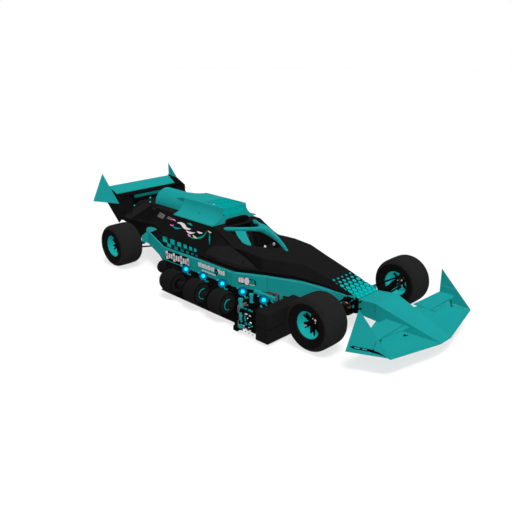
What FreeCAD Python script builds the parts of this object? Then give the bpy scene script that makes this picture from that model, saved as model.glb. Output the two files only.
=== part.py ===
"""Single-seat open-wheel racing car, built from separate pieces.

Millimetres. +X points forward to the nose, +Y to the car's left, +Z up. The ground is z = 0, where the four
tyres stand. Stations along the car are measured from the front axle (AXLE_F) for the nose, the cockpit and the
side units, and from the rear axle (AXLE_R) for the tail, so the engine bay between them takes up a change of
wheelbase. save() moves every piece so that the origin lies under the middle of the car's overall box.
"""

import FreeCAD, Part
import math
import os

V = FreeCAD.Vector

# ---- driving dimensions -------------------------------------------------------------------------------
WHEELBASE = 3670.0
TRACK = 1642.0              # between the middles of the two tyres of an axle
TYRE_R = 302.5
TYRE_W = 358.0
TYRE_SHOULDER = 72.0        # radius of the round shoulders
RIM_R = 156.0               # outer radius of the rim, where the tyre seats
RIM_WALL = 9.0
RIM_SET_IN = 38.0           # rim's edge, in from the tyre's side
HUB_R = 34.0
SPOKES = 6
SPOKE_T = 16.0
STUB_R = 23.7               # stub axle
SPIN_CLEAR = 0.3            # between the hub's bore and the stub axle

RIDE_HEIGHT = 54.0          # underside of the floor above the ground
FLOOR_T = 12.0
CLEAR = 0.3                 # seat between pieces that are not face to face

AXLE_F = WHEELBASE / 2
AXLE_R = -WHEELBASE / 2
WHEEL_Y = TRACK / 2
FLOOR_TOP = RIDE_HEIGHT + FLOOR_T

NOSE_X = AXLE_F + 75.0      # where the nose piece meets the body
NOSE_TIP_X = AXLE_F + 1065.0
TAIL_X = AXLE_R - 335.0     # rear end of the black body shell

RAIL_T = 20.0               # teal band along each side
RAIL_TOP = 448.0
RAIL_BOTTOM = 260.0
RAIL_Y = 725.0              # its outer face where it runs straight
BAND_Y = RAIL_Y - RAIL_T    # the body's side behind the band

TANK_R = 147.0              # drums in line along each side
TANK_Y = 1058.0
TANKS = 3
TANK_LEN = 232.0
TANK_PITCH = 456.0
TANK_REAR_X = AXLE_F - 2281.0
TANK_ROUND = 52.0
TANK_Z = FLOOR_TOP + TANK_R
TANKS_LEFT = 2              # the left side has a shorter row, closer to the body
TANK_Y_LEFT = 915.0
SHAFT_R = 46.0              # shaft that carries the drums
COLLAR_R = 64.0
COLLAR_T = 16.0

BOX_FRONT_X = AXLE_F - 355.0    # upright case between the drums and the right front wheel
BOX_REAR_X = BOX_FRONT_X - 180.0
BOX_OUT_Y = TANK_Y + TANK_R     # level with the drums' outer sides
BOX_IN_Y = 240.0
BOX_BOTTOM = 30.0
BOX_TOP = 380.0
BOX_STEP_Y = 600.0              # inboard of this the case is lower and passes under the rail
BOX_STEP_Z = 290.0

ENDPLATE_LEN = 404.0        # wedge-shaped endplates, the same at both wings
ENDPLATE_H = 396.0
ENDPLATE_FLARE = 195.0
FRONT_PLATE_Y = 810.0
FRONT_PLATE_X = AXLE_F + 921.0  # front tip of the wedge
FRONT_PLATE_Z = 206.0
REAR_PLATE_Y = 617.0
REAR_PLATE_X = AXLE_R - 311.0
REAR_PLATE_Z = 808.0

TUB_REAR_X = AXLE_F - 2165.0
COVER_FRONT_X = TUB_REAR_X + 27.0   # teal engine cover
COVER_REAR_X = AXLE_R + 715.0
COVER_BASE_Z = 800.0
COVER_TOP_Z = 1010.0
COVER_TOP_W = 210.0         # half width of its flat top
COVER_LIP_W = 405.0         # half width at the flared lips
COVER_LIP_T = 12.0
COVER_KNEE = (10.0, 62.0)   # where the flanks start to sweep out, from the top's edge
COVER_PANEL_LEN = 350.0     # sunk panel in the top, behind the inlet
COVER_PANEL_W = 176.0
COVER_PANEL_DEPTH = 5.0
COVER_T = 12.0
COWL_R = 200.0              # barrel behind the cover
COWL_REAR_X = AXLE_R + 25.0

REAR_X = REAR_PLATE_X - ENDPLATE_LEN
ORIGIN_X = (NOSE_TIP_X + REAR_X) / 2
ORIGIN_Y = (TANK_Y_LEFT - TANK_Y) / 2   # the drums stand out further on the right
BIG = 4000.0

# ---- helpers ------------------------------------------------------------------------------------------


def save(name, *solids):
    """Write one node: a piece, or like pieces that do not touch."""
    shape = solids[0] if len(solids) == 1 else Part.makeCompound(list(solids))
    shape = shape.copy()
    shape.translate(V(-ORIGIN_X, -ORIGIN_Y, 0))
    shape.exportStep(f"parts/{name}.step")
    print(f"{name:24s} solids {len(shape.Solids)} volume {shape.Volume / 1e6:9.2f} l valid {shape.isValid()}")


def mirrored(shape):
    """The same piece on the car's other side."""
    return shape.mirror(V(0, 0, 0), V(0, 1, 0))


def face_of(points):
    points = [V(*p) for p in points]
    return Part.Face(Part.makePolygon(points + points[:1]))


def prism(points, travel):
    """A flat outline pushed along a vector."""
    return face_of(points).extrude(V(*travel))


def box(x0, x1, y0, y1, z0, z1):
    return Part.makeBox(x1 - x0, y1 - y0, z1 - z0, V(x0, y0, z0))


def bar(start, end, radius):
    """A round bar between two points."""
    start, end = V(*start), V(*end)
    return Part.makeCylinder(radius, (end - start).Length, start, end - start)


def drum(radius, x0, x1, y, z):
    return Part.makeCylinder(radius, x1 - x0, V(x0, y, z), V(1, 0, 0))


def joined(first, *others):
    return first.multiFuse(list(others)).removeSplitter()


def largest(shape):
    return max(shape.Solids, key=lambda solid: solid.Volume)


def loft(outlines):
    """A ruled solid through outlines with the same number of corners."""
    wires = [Part.makePolygon([V(*p) for p in points] + [V(*points[0])]) for points in outlines]
    return Part.makeLoft(wires, True, True)


def hull4(a, b, c, d):
    """The tetrahedron on four corners."""
    faces = [face_of(t) for t in ((a, b, c), (a, b, d), (a, c, d), (b, c, d))]
    solid = Part.Solid(Part.Shell(faces))
    if solid.Volume < 0:
        solid.reverse()
    return solid


def both_sides(half):
    """Close a half outline, listed from the top middle to the bottom middle, into a whole one."""
    return half + [(x, -y, z) for x, y, z in reversed(half)]


# ---- body shell ---------------------------------------------------------------------------------------
# Each station: x, then (half width, height) of the top edge, the shoulder, the undercut below it, the inside of the
# side band at its top and bottom, and the bottom edge.
SHELL_FRONT = [
    (NOSE_X, (184, 382), (192, 352), (190, 344), (194, 338), (194, 300), (178, 200)),
    (AXLE_F - 336, (194, 509), (262, 452), (248, 428), (286, 418), (286, 310), (230, 150)),
    (AXLE_F - 728, (227, 600), (370, 488), (340, 440), (410, 430), (410, 280), (310, FLOOR_TOP)),
    (AXLE_F - 1135, (410, 600), (550, 486), (518, 430), (590, 420), (590, 270), (500, FLOOR_TOP)),
    (AXLE_F - 1415, (410, 620), (640, 473), (605, 415), (BAND_Y, 415), (BAND_Y, RAIL_BOTTOM), (630, FLOOR_TOP)),
    (AXLE_F - 1745, (405, 609), (640, 471), (605, 415), (BAND_Y, 415), (BAND_Y, RAIL_BOTTOM), (630, FLOOR_TOP)),
    (AXLE_F - 2049, (400, 772), (640, 467), (605, 415), (BAND_Y, 415), (BAND_Y, RAIL_BOTTOM), (630, FLOOR_TOP)),
    (TUB_REAR_X, (350, 800), (640, 467), (605, 415), (BAND_Y, 415), (BAND_Y, RAIL_BOTTOM), (630, FLOOR_TOP)),
]
SHELL_REAR = [
    (AXLE_R + 972, (350, 800), (640, 474), (605, 415), (BAND_Y, 415), (BAND_Y, RAIL_BOTTOM), (600, FLOOR_TOP)),
    (AXLE_R + 685, (350, 800), (575, 540), (540, 470), (625, 415), (625, 285), (540, FLOOR_TOP)),
    (AXLE_R + 435, (330, 800), (530, 625), (500, 560), (562, 440), (562, 300), (430, FLOOR_TOP)),
    (AXLE_R + 215, (300, 800), (520, 602), (480, 540), (478, 450), (478, 310), (330, 80)),
    (AXLE_R - 115, (205, 800), (578, 603), (560, 560), (480, 450), (470, 330), (280, 170)),
    (TAIL_X, (235, 785), (589, 602), (575, 560), (450, 450), (430, 350), (250, 240)),
]
# Outer face of the side band: x, y, height of its top and bottom edges.
RAIL = [
    (NOSE_X - 40, 215, 412, 372),
    (AXLE_F - 60, 236, 396, 292),
    (AXLE_F - 380, 306, 431, 270),
    (AXLE_F - 622, 386, 454, 232),
    (AXLE_F - 1066, 566, 456, 253),
    (AXLE_F - 1416, RAIL_Y, RAIL_TOP, RAIL_BOTTOM),
    (AXLE_F - 2201, RAIL_Y, RAIL_TOP, RAIL_BOTTOM),
    (AXLE_R + 869, RAIL_Y, RAIL_TOP - 8, RAIL_BOTTOM),
    (AXLE_R + 435, 587, 472, 288),
    (AXLE_R + 222, 510, 478, 292),
    (AXLE_R + 150, 572, 402, 312),
]
POD_Y = 410.0               # where the sidepods meet the monocoque and the tail
POD_FRONT_X = AXLE_F - 1135.0
POD_REAR_X = AXLE_R + 685.0


def shell_form():
    outlines = []
    for x, *edges in SHELL_FRONT + SHELL_REAR:
        half = [(x, y, z) for y, z in edges]
        outlines.append(both_sides(half))
    return loft(outlines)


SHELL_FORM = shell_form()

# ---- cockpit ------------------------------------------------------------------------------------------
COCKPIT_REAR_X = AXLE_F - 2035.0
COCKPIT_FRONT_X = AXLE_F - 1315.0
COCKPIT_TAPER_X = AXLE_F - 1715.0
COCKPIT_W = 225.0           # half width
COCKPIT_NOSE_R = 150.0
COCKPIT_FLOOR = 130.0


def cockpit_space():
    """Long rounded opening, as wide as the driver's shoulders."""
    x_mid = COCKPIT_FRONT_X - COCKPIT_NOSE_R
    start, end = V(x_mid, -COCKPIT_NOSE_R, 0), V(x_mid, COCKPIT_NOSE_R, 0)
    edge = [V(COCKPIT_REAR_X, -COCKPIT_W, 0), V(COCKPIT_TAPER_X, -COCKPIT_W, 0), start]
    arc = Part.Arc(start, V(COCKPIT_FRONT_X, 0, 0), end).toShape()
    back = Part.makePolygon([end, V(COCKPIT_TAPER_X, COCKPIT_W, 0), V(COCKPIT_REAR_X, COCKPIT_W, 0), edge[0]])
    outline = Part.Wire(Part.makePolygon(edge).Edges + [arc] + back.Edges)
    space = Part.Face(outline).extrude(V(0, 0, BIG))
    space.translate(V(0, 0, COCKPIT_FLOOR))
    return space


def monocoque():
    region = box(TUB_REAR_X, BIG, -BIG, BIG, 0, BIG)
    pods = box(-BIG, POD_FRONT_X, POD_Y, BIG, 0, BIG)
    tub = SHELL_FORM.common(region).cut(pods).cut(mirrored(pods))
    return tub.cut(cockpit_space())


BULB_R = 90.0               # rounded duct end below the band, behind the drums
BULB_Y = 745.0
BULB_Z = 165.0
BULB_LEN = 255.0


def sidepod():
    pod = SHELL_FORM.common(box(POD_REAR_X, POD_FRONT_X, POD_Y, BIG, 0, BIG))
    x = AXLE_R + 830
    bulb = drum(BULB_R, x, x + BULB_LEN, BULB_Y, BULB_Z)
    rear = [e for e in bulb.Edges if e.Curve.TypeId == "Part::GeomCircle" and abs(e.Curve.Center.x - x) < 1]
    return joined(pod, bulb.makeFillet(BULB_R / 2, rear))


ENGINE_LEN = 580.0
ENGINE_FRONT_X = TUB_REAR_X - 150.0
ENGINE_W = 240.0            # half width
ENGINE_H = 504.0
ENGINE_GAP = 6.0
JACK_R = 12.0               # bar at the tail that a jack lifts by
JACK_LEN = 70.0
JACK_Z = 290.0
LEDGE_W = 345.0             # half width of the ledge under the barrel
LEDGE_T = 50.0


def tail_body():
    pods = box(POD_REAR_X, BIG, POD_Y, BIG, 0, BIG)
    tail = SHELL_FORM.common(box(-BIG, TUB_REAR_X, -BIG, BIG, 0, BIG)).cut(pods).cut(mirrored(pods))
    bay = box(ENGINE_FRONT_X - ENGINE_LEN - ENGINE_GAP, ENGINE_FRONT_X + ENGINE_GAP, -ENGINE_W - ENGINE_GAP,
              ENGINE_W + ENGINE_GAP, 0, FLOOR_TOP + ENGINE_H + ENGINE_GAP)
    ledge = box(AXLE_R + 215, AXLE_R + 545, -LEDGE_W, LEDGE_W, COVER_BASE_Z - LEDGE_T, COVER_BASE_Z)
    jack = drum(JACK_R, TAIL_X - JACK_LEN, TAIL_X + 40, 0, JACK_Z)
    return joined(tail.cut(bay), ledge, jack)


def engine_block():
    return box(ENGINE_FRONT_X - ENGINE_LEN, ENGINE_FRONT_X, -ENGINE_W, ENGINE_W, FLOOR_TOP, FLOOR_TOP + ENGINE_H)


# ---- side band ----------------------------------------------------------------------------------------


def side_rail():
    outlines = []
    for x, y, top, bottom in RAIL:
        outlines.append([(x, y - RAIL_T, top), (x, y, top), (x, y, bottom), (x, y - RAIL_T, bottom)])
    return largest(loft(outlines).cut(SHELL_FORM))


# ---- floor --------------------------------------------------------------------------------------------
TRAY_IN = 55.0              # tray's edge, out from the middle of the drums
TRAY_FRONT = 1310.0         # tray's ends, from the first drum's rear end
TRAY_FRONT_LEFT = 760.0
TRAY_REAR = 70.0


def floor_edge(tray_y, front):
    """Half outline of the floor: x, half width."""
    return [(AXLE_F - 336, 225), (AXLE_F - 728, 330), (AXLE_F - 1000, 470), (TANK_REAR_X + front, 630),
            (TANK_REAR_X + front, tray_y), (TANK_REAR_X - TRAY_REAR, tray_y),
            (TANK_REAR_X - TRAY_REAR - 60, RAIL_Y), (AXLE_R + 972, 620), (AXLE_R + 685, 520), (AXLE_R + 435, 400),
            (AXLE_R + 215, 300)]


def floor_outline(bottom):
    """Everything between a height and the floor's top, inside the floor's outline."""
    right = [(x, -y, bottom) for x, y in floor_edge(TANK_Y + TRAY_IN, TRAY_FRONT)]
    left = [(x, y, bottom) for x, y in floor_edge(TANK_Y_LEFT + TRAY_IN, TRAY_FRONT_LEFT)]
    return prism(right + left[::-1], (0, 0, FLOOR_TOP - bottom))


def floor():
    return floor_outline(RIDE_HEIGHT).cut(SHELL_FORM)


# ---- nose and front wing ------------------------------------------------------------------------------
NOSE = [                    # x, top half width, top height, bottom half width, bottom height
    (NOSE_X, 184, 382, 178, 200),
    (AXLE_F + 316, 206, 405, 190, 196),
    (AXLE_F + 725, 153, 277, 150, 176),
    (NOSE_TIP_X, 105, 172, 105, 156),
]
WING_T = 12.0
MAIN_REAR_X = (FRONT_PLATE_X - 646.0, FRONT_PLATE_X - 392.0)    # beside the nose, at the endplates
MAIN_Z_IN = 168.0           # top of the main plane beside the nose
MAIN_IN_Y = 105.0
FLAP_Z = 302.0
FLAP_IN_Y = 274.0


def nose_cone():
    outlines = []
    for x, wt, zt, wb, zb in NOSE:
        outlines.append([(x, -wt, zt), (x, wt, zt), (x, wb, zb), (x, -wb, zb)])
    return loft(outlines)


def front_wing():
    """Main plane, one piece from plate to plate and cut out around the nose."""
    z_out = FRONT_PLATE_Z
    half = [(NOSE_TIP_X, MAIN_IN_Y, MAIN_Z_IN), (FRONT_PLATE_X, FRONT_PLATE_Y, z_out),
            (MAIN_REAR_X[1], FRONT_PLATE_Y, z_out), (MAIN_REAR_X[0], MAIN_IN_Y, MAIN_Z_IN)]
    halves = []
    for side in (1, -1):
        low = [(x, side * y, z - WING_T) for x, y, z in half]
        high = [(x, side * y, z) for x, y, z in half]
        halves.append(loft([[low[0], low[3], high[3], high[0]], [low[1], low[2], high[2], high[1]]]))
    middle = box(MAIN_REAR_X[0], NOSE_TIP_X, -MAIN_IN_Y, MAIN_IN_Y, MAIN_Z_IN - WING_T, MAIN_Z_IN)
    return joined(middle, *halves).cut(nose_cone())


def front_flap():
    """Upper element: a level plate each side of the nose, carried by the endplate."""
    rear = FRONT_PLATE_X - ENDPLATE_LEN
    outline = [(rear - 19, FLAP_IN_Y, FLAP_Z), (rear + 261, FLAP_IN_Y, FLAP_Z),
               (rear + 191, FRONT_PLATE_Y, FLAP_Z), (rear, FRONT_PLATE_Y, FLAP_Z)]
    return prism(outline, (0, 0, WING_T))


def endplate(x, y, z):
    """Wedge: an upright inner face and an outer face that flares towards its foot at the rear."""
    rear = x - ENDPLATE_LEN
    return hull4((x, y, z), (rear, y, z + ENDPLATE_H), (rear, y, z), (rear, y + ENDPLATE_FLARE, z))


# ---- halo ---------------------------------------------------------------------------------------------
HALO_REAR = (AXLE_F - 2057.0, 281.0, 757.0)     # middle of an arm's rear end
HALO_HEAD = (AXLE_F - 1635.0, 815.0)            # x, height of the middle where the arms meet
ARM_R = 25.0
STRUT_W = 30.0              # half width of the strut
BLADE_T = 8.0
BLADE = [(-300, 768), (-160, 786), (-153, 681), (-137, 636), (-114, 592), (-104, 552), (-158, 555), (-194, 586),
         (-234, 638), (-268, 691)]


def halo():
    """Two arms that meet over the driver, one curved strut down to the deck and a blade under each arm."""
    rx, ry, rz = HALO_REAR
    hx, hz = HALO_HEAD
    slope = ry / (hx - rx)
    parts = []
    for side in (1, -1):
        parts.append(bar((rx, side * ry, rz), (hx + 20, 0, hz), ARM_R))
        parts.append(Part.makeSphere(ARM_R, V(rx, side * ry, rz)))
        flat = [(hx + x, side * (slope * -x + BLADE_T / 2), z) for x, z in BLADE]
        parts.append(prism(flat, (0, -side * BLADE_T, 0)))
    top = [V(hx - 15, -STRUT_W, hz + 45), V(hx + 195, -STRUT_W, 796), V(hx + 483, -STRUT_W, 588)]
    low = [V(hx + 406, -STRUT_W, 588), V(hx + 200, -STRUT_W, 705), V(hx - 15, -STRUT_W, hz - 45)]
    edges = [Part.Arc(*top).toShape(), Part.makeLine(top[-1], low[0]), Part.Arc(*low).toShape(),
             Part.makeLine(low[-1], top[0])]
    strut = Part.Face(Part.Wire(edges)).extrude(V(0, 2 * STRUT_W, 0))
    return joined(strut, *parts).cut(SHELL_FORM.cut(cockpit_space()))


# ---- cockpit pieces -----------------------------------------------------------------------------------
SEAT_W = 185.0              # half width
SEAT_WALL = 40.0
SEAT_BACK_Z = 640.0
STEER_X = AXLE_F - 1500.0   # steering wheel
STEER_Z = 566.0
GRIP_Y = 78.0


def seat():
    x = COCKPIT_REAR_X
    outline = [(x, COCKPIT_FLOOR), (x, SEAT_BACK_Z), (x + 40, SEAT_BACK_Z), (x + 150, 250), (x + 260, 205),
               (x + 425, 225), (x + 440, COCKPIT_FLOOR)]
    body = prism([(a, -SEAT_W, b) for a, b in outline], (0, 2 * SEAT_W, 0))
    inner = [(x + 70, 600), (x + 180, 232), (x + 260, 185), (x + 600, 185), (x + 600, 600)]
    hollow = prism([(a, SEAT_WALL - SEAT_W, b) for a, b in inner], (0, 2 * (SEAT_W - SEAT_WALL), 0))
    return body.cut(hollow)


HEADREST_W = 205.0          # half width
HEADREST_T = 88.0
HEADREST_TOP = 864.0


def headrest():
    """Arched pad behind the driver's head, in front of the engine cover."""
    x = COVER_FRONT_X + 3
    left, right = V(x, HEADREST_W, COVER_BASE_Z), V(x, -HEADREST_W, COVER_BASE_Z)
    arch = Part.Arc(left, V(x, 0, HEADREST_TOP), right).toShape()
    foot = Part.makePolygon([right, V(x, -HEADREST_W, 700), V(x, HEADREST_W, 700), left])
    pad = Part.Face(Part.Wire([arch] + foot.Edges)).extrude(V(HEADREST_T, 0, 0))
    return pad.cut(SHELL_FORM)


def steering_wheel():
    """Small wheel with two upright grips, on a column from the cockpit's front wall."""
    boss = box(STEER_X - 12, STEER_X + 12, -GRIP_Y + 8, GRIP_Y - 8, STEER_Z - 38, STEER_Z + 38)
    grips = [Part.makeCylinder(15, 110, V(STEER_X, side * GRIP_Y, STEER_Z - 55)) for side in (1, -1)]
    column = drum(18, STEER_X, COCKPIT_FRONT_X - 2, 0, STEER_Z)
    return joined(boss, column, *grips)


# ---- engine cover and cowl ----------------------------------------------------------------------------
INLET_W = 176.0             # half width of the inlet in the cover's front
INLET_LOW, INLET_HIGH = 903.0, 996.0
SLOTS = 3
SLOT_DEPTH = 4.0


def cover_solid(inset, x0, x1):
    """Flat top, upright shoulders, then concave flanks that sweep out to thin lips."""
    top_y, top_z = COVER_TOP_W - inset, COVER_TOP_Z - inset
    knee_y, knee_z = top_y + COVER_KNEE[0], top_z - COVER_KNEE[1]
    lip_y, lip_z = COVER_LIP_W - 4 * inset, COVER_BASE_Z + COVER_LIP_T - inset / 2
    mid_y, mid_z = knee_y + (lip_y - knee_y) * 0.26, lip_z + (knee_z - lip_z) * 0.48
    edges = [Part.makeLine(V(x0, -top_y, top_z), V(x0, top_y, top_z)),
             Part.makeLine(V(x0, top_y, top_z), V(x0, knee_y, knee_z)),
             Part.Arc(V(x0, knee_y, knee_z), V(x0, mid_y, mid_z), V(x0, lip_y, lip_z)).toShape(),
             Part.makeLine(V(x0, lip_y, lip_z), V(x0, lip_y, COVER_BASE_Z)),
             Part.makeLine(V(x0, lip_y, COVER_BASE_Z), V(x0, -lip_y, COVER_BASE_Z)),
             Part.makeLine(V(x0, -lip_y, COVER_BASE_Z), V(x0, -lip_y, lip_z)),
             Part.Arc(V(x0, -lip_y, lip_z), V(x0, -mid_y, mid_z), V(x0, -knee_y, knee_z)).toShape(),
             Part.makeLine(V(x0, -knee_y, knee_z), V(x0, -top_y, top_z))]
    return Part.Face(Part.Wire(edges)).extrude(V(x1 - x0, 0, 0))


def stadium(x, half_w, low, high, depth):
    """Block with round ends across the car."""
    r = (high - low) / 2
    z = (high + low) / 2
    middle = box(x, x + depth, -(half_w - r), half_w - r, low, high)
    ends = [drum(r, x, x + depth, side * (half_w - r), z) for side in (1, -1)]
    return joined(middle, *ends)


def engine_cover():
    outer = cover_solid(0, COVER_REAR_X, COVER_FRONT_X)
    inner = cover_solid(COVER_T, COVER_REAR_X + COVER_T, COVER_FRONT_X - COVER_T)
    inlet = stadium(COVER_FRONT_X - 2 * COVER_T, INLET_W, INLET_LOW, INLET_HIGH, 4 * COVER_T)
    panel = box(COVER_FRONT_X - COVER_T - COVER_PANEL_LEN, COVER_FRONT_X - COVER_T, -COVER_PANEL_W, COVER_PANEL_W,
                COVER_TOP_Z - COVER_PANEL_DEPTH, COVER_TOP_Z + 1)
    return outer.cut(inner).cut(inlet).cut(panel)


def intake_grille():
    """Stadium-shaped insert with rows of shallow slots."""
    plate = stadium(COVER_FRONT_X - COVER_T, INLET_W - CLEAR, INLET_LOW + CLEAR, INLET_HIGH - CLEAR, COVER_T - 2)
    r = (INLET_HIGH - INLET_LOW) / 2
    pitch = (INLET_HIGH - INLET_LOW) / (SLOTS + 1)
    face = COVER_FRONT_X - 2
    for row in range(SLOTS):
        z = INLET_LOW + pitch * (row + 1)
        plate = plate.cut(box(face - SLOT_DEPTH, face + 10, r - INLET_W, INLET_W - r, z - 6, z + 6))
    return plate


COWL_BORE = 260.0
COWL_WALL = 16.0
FAIRING_LEN = 280.0


def rear_cowl():
    """Round-topped barrel behind the cover, open at its rear end, with a fairing that widens to the cover's flat top."""
    spring = COVER_TOP_Z - COWL_R

    def arch(radius, x0, x1, base):
        left, right = V(x0, radius, spring), V(x0, -radius, spring)
        top = Part.Arc(left, V(x0, 0, spring + radius), right).toShape()
        foot = Part.makePolygon([right, V(x0, -radius, base), V(x0, radius, base), left])
        return Part.Face(Part.Wire([top] + foot.Edges)).extrude(V(x1 - x0, 0, 0))

    barrel = arch(COWL_R, COWL_REAR_X, COVER_REAR_X, COVER_BASE_Z)
    outlet = arch(COWL_R - COWL_WALL, COWL_REAR_X, COWL_REAR_X + COWL_BORE, COVER_BASE_Z + 4)
    start, end = COVER_REAR_X - FAIRING_LEN, COVER_REAR_X
    bends = [math.radians(a) for a in (-46, -23, 0, 23, 46)]
    crown = [(start, COWL_R * math.sin(a), spring + COWL_R * math.cos(a)) for a in bends]
    flat = [(end, COVER_TOP_W * k, COVER_TOP_Z) for k in (-1, -0.5, 0, 0.5, 1)]
    fairing = loft([crown + [(start, 130, spring + 80), (start, -130, spring + 80)],
                    flat + [(end, 150, spring + 80), (end, -150, spring + 80)]])
    return joined(barrel, fairing).cut(outlet)


# ---- rear wing ----------------------------------------------------------------------------------------
PILLAR_OUT_Y = 600.0        # inner face of the plates that carry the wing
COLUMN_R = 93.0             # round columns beside the plates
COLUMN_X = REAR_PLATE_X + 8.0
COLUMN_Y = PILLAR_OUT_Y - COLUMN_R
COLUMN_TOP = 870.0
LOWER_X = (REAR_PLATE_X - 154.0, REAR_PLATE_X - 54.0)
LOWER_Z = (826.0, 896.0)
WING_FRONT = (REAR_PLATE_X - 230.0, 900.0)      # x, height of the upper plane's front edge
WING_REAR = (REAR_PLATE_X - 391.0, 997.0)
LIGHT_W = 308.0
TAIL_BOARD_Z = 640.0


def rear_wing():
    """Upper plane, tilted up to the rear, between the two plates."""
    (fx, fz), (rx, rz) = WING_FRONT, WING_REAR
    outline = [(fx, -PILLAR_OUT_Y, fz), (rx, -PILLAR_OUT_Y, rz), (rx - 6, -PILLAR_OUT_Y, rz - WING_T),
               (fx - 6, -PILLAR_OUT_Y, fz - WING_T)]
    return prism(outline, (0, 2 * PILLAR_OUT_Y, 0))


def rear_pillar():
    """Plate in line with the endplate's inner face, with a round column up from the tail beside it."""
    x, z = REAR_PLATE_X, REAR_PLATE_Z
    side = [(x - ENDPLATE_LEN, z + 199), (x - 174, z + 177), (x + 16, z + 95), (x + 19, z), (x + 135, z - 113),
            (x - 47, z - 299), (x - 322, z - 50), (x - ENDPLATE_LEN, z)]
    plate = prism([(a, PILLAR_OUT_Y, b) for a, b in side], (0, REAR_PLATE_Y - PILLAR_OUT_Y, 0))
    column = Part.makeCylinder(COLUMN_R, COLUMN_TOP - 560, V(COLUMN_X, COLUMN_Y, 560))
    cap = [e for e in column.Edges if e.Curve.TypeId == "Part::GeomCircle" and e.Curve.Center.z > 800]
    column = column.makeFillet(20, cap)
    web = box(COLUMN_X - 60, COLUMN_X + 20, COLUMN_Y, PILLAR_OUT_Y, 640, COLUMN_TOP - 40)
    return largest(joined(plate, column, web).cut(SHELL_FORM))


def rear_lower_wing():
    """Beam between the plates, closed up to the wing's front edge and down to a tail board."""
    (x0, x1), (z0, z1), (fx, fz) = LOWER_X, LOWER_Z, WING_FRONT
    span = box(x0, x1, -PILLAR_OUT_Y, PILLAR_OUT_Y, z0, z1)
    riser = [(x0, -PILLAR_OUT_Y, z1), (fx - 4, -PILLAR_OUT_Y, fz - 8), (fx - 8, -PILLAR_OUT_Y, fz - 40),
             (x0, -PILLAR_OUT_Y, z0 + 10)]
    board = box(x0 + 44, x0 + 54, -PILLAR_OUT_Y, PILLAR_OUT_Y, TAIL_BOARD_Z, z0)
    span = joined(span, prism(riser, (0, 2 * PILLAR_OUT_Y, 0)), board).cut(rear_wing())
    for side in (1, -1):
        span = span.cut(Part.makeCylinder(COLUMN_R, BIG, V(COLUMN_X, side * COLUMN_Y, 0)))
    return span


def rear_light_bar():
    return box(LOWER_X[1], LOWER_X[1] + 14, -LIGHT_W, LIGHT_W, LOWER_Z[0] + 12, LOWER_Z[1] - 20)


# ---- side units: drums, shaft, pylons, case, rack, lamps, pipes ------------------------------------------


def rail_at(x):
    """Outer face and underside of the side band at a station."""
    for (x0, y0, _, z0), (x1, y1, _, z1) in zip(RAIL, RAIL[1:]):
        if x1 <= x <= x0:
            k = (x0 - x) / (x0 - x1)
            return y0 + (y1 - y0) * k, z0 + (z1 - z0) * k


def tank_x(row):
    return TANK_REAR_X + TANK_PITCH * row


def side_tanks(count, y):
    """Drums on one shaft."""
    parts = []
    for row in range(count):
        x = tank_x(row)
        body = drum(TANK_R, x, x + TANK_LEN, y, TANK_Z)
        ends = [e for e in body.Edges if e.Curve.TypeId == "Part::GeomCircle"]
        parts.append(body.makeFillet(TANK_ROUND, ends))
    shaft = drum(SHAFT_R, TANK_REAR_X - 50, tank_x(count - 1) + TANK_LEN + COLLAR_T + 14, y, TANK_Z)
    return joined(shaft, *parts)


def tank_collars(count, y):
    rings = []
    for row in range(count):
        x = tank_x(row) + TANK_LEN
        ring = drum(COLLAR_R, x, x + COLLAR_T, y, TANK_Z)
        rings.append(ring.cut(drum(SHAFT_R + CLEAR, x - 10, x + COLLAR_T + 10, y, TANK_Z)))
    return rings


PYLON_W = 130.0             # along the car
PYLON_T = 24.0
PYLON_SWEEP = 340.0         # from the seat under the side band forward to the flange
PYLON_SWEEP_LEFT = 0.0
FLANGE_T = 20.0
FLANGE_R = (96.0, 136.0)    # the first one is smaller


def tank_pylons(count, y, sweep):
    """Swept arms from under the side band out to flanges that hold the shaft, behind the first and last drums."""
    out = []
    for radius, row in zip(FLANGE_R, (0, count - 1)):
        x = tank_x(row) - CLEAR - FLANGE_T
        seat_x = x - sweep + FLANGE_T - PYLON_W / 2
        z = RAIL_BOTTOM - CLEAR
        top = [(seat_x - PYLON_W / 2, RAIL_Y - RAIL_T, z), (seat_x + PYLON_W / 2, RAIL_Y - RAIL_T, z),
               (seat_x + PYLON_W / 2, RAIL_Y - 2, z), (seat_x - PYLON_W / 2, RAIL_Y - 2, z)]
        foot_y, foot_z = y - 70, TANK_Z + 20
        x0, x1 = x + FLANGE_T - PYLON_W, x + FLANGE_T
        foot = [(x0, foot_y, foot_z), (x1, foot_y, foot_z), (x1, foot_y, foot_z + PYLON_T),
                (x0, foot_y, foot_z + PYLON_T)]
        neck = box(x0, x1, foot_y, y - SHAFT_R - 4, foot_z, foot_z + PYLON_T)
        flange = drum(radius, x, x1, y, TANK_Z)
        sleeve = drum(SHAFT_R + 26, x - 30, x, y, TANK_Z)
        hole = drum(SHAFT_R + CLEAR, x - 400, x + 400, y, TANK_Z)
        out.append(largest(joined(flange, loft([top, foot]), sleeve, neck).cut(hole).cut(SHELL_FORM)))
    return out


def side_box():
    """Upright case between the drums and the right front wheel."""
    case = box(BOX_REAR_X, BOX_FRONT_X, -BOX_OUT_Y, -BOX_IN_Y, BOX_BOTTOM, BOX_TOP)
    case = case.cut(box(BOX_REAR_X, BOX_FRONT_X, -BOX_STEP_Y, -BOX_IN_Y, BOX_STEP_Z, BOX_TOP))
    return largest(case.cut(SHELL_FORM).cut(mirrored(side_rail())).cut(floor_outline(0.0)))


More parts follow.
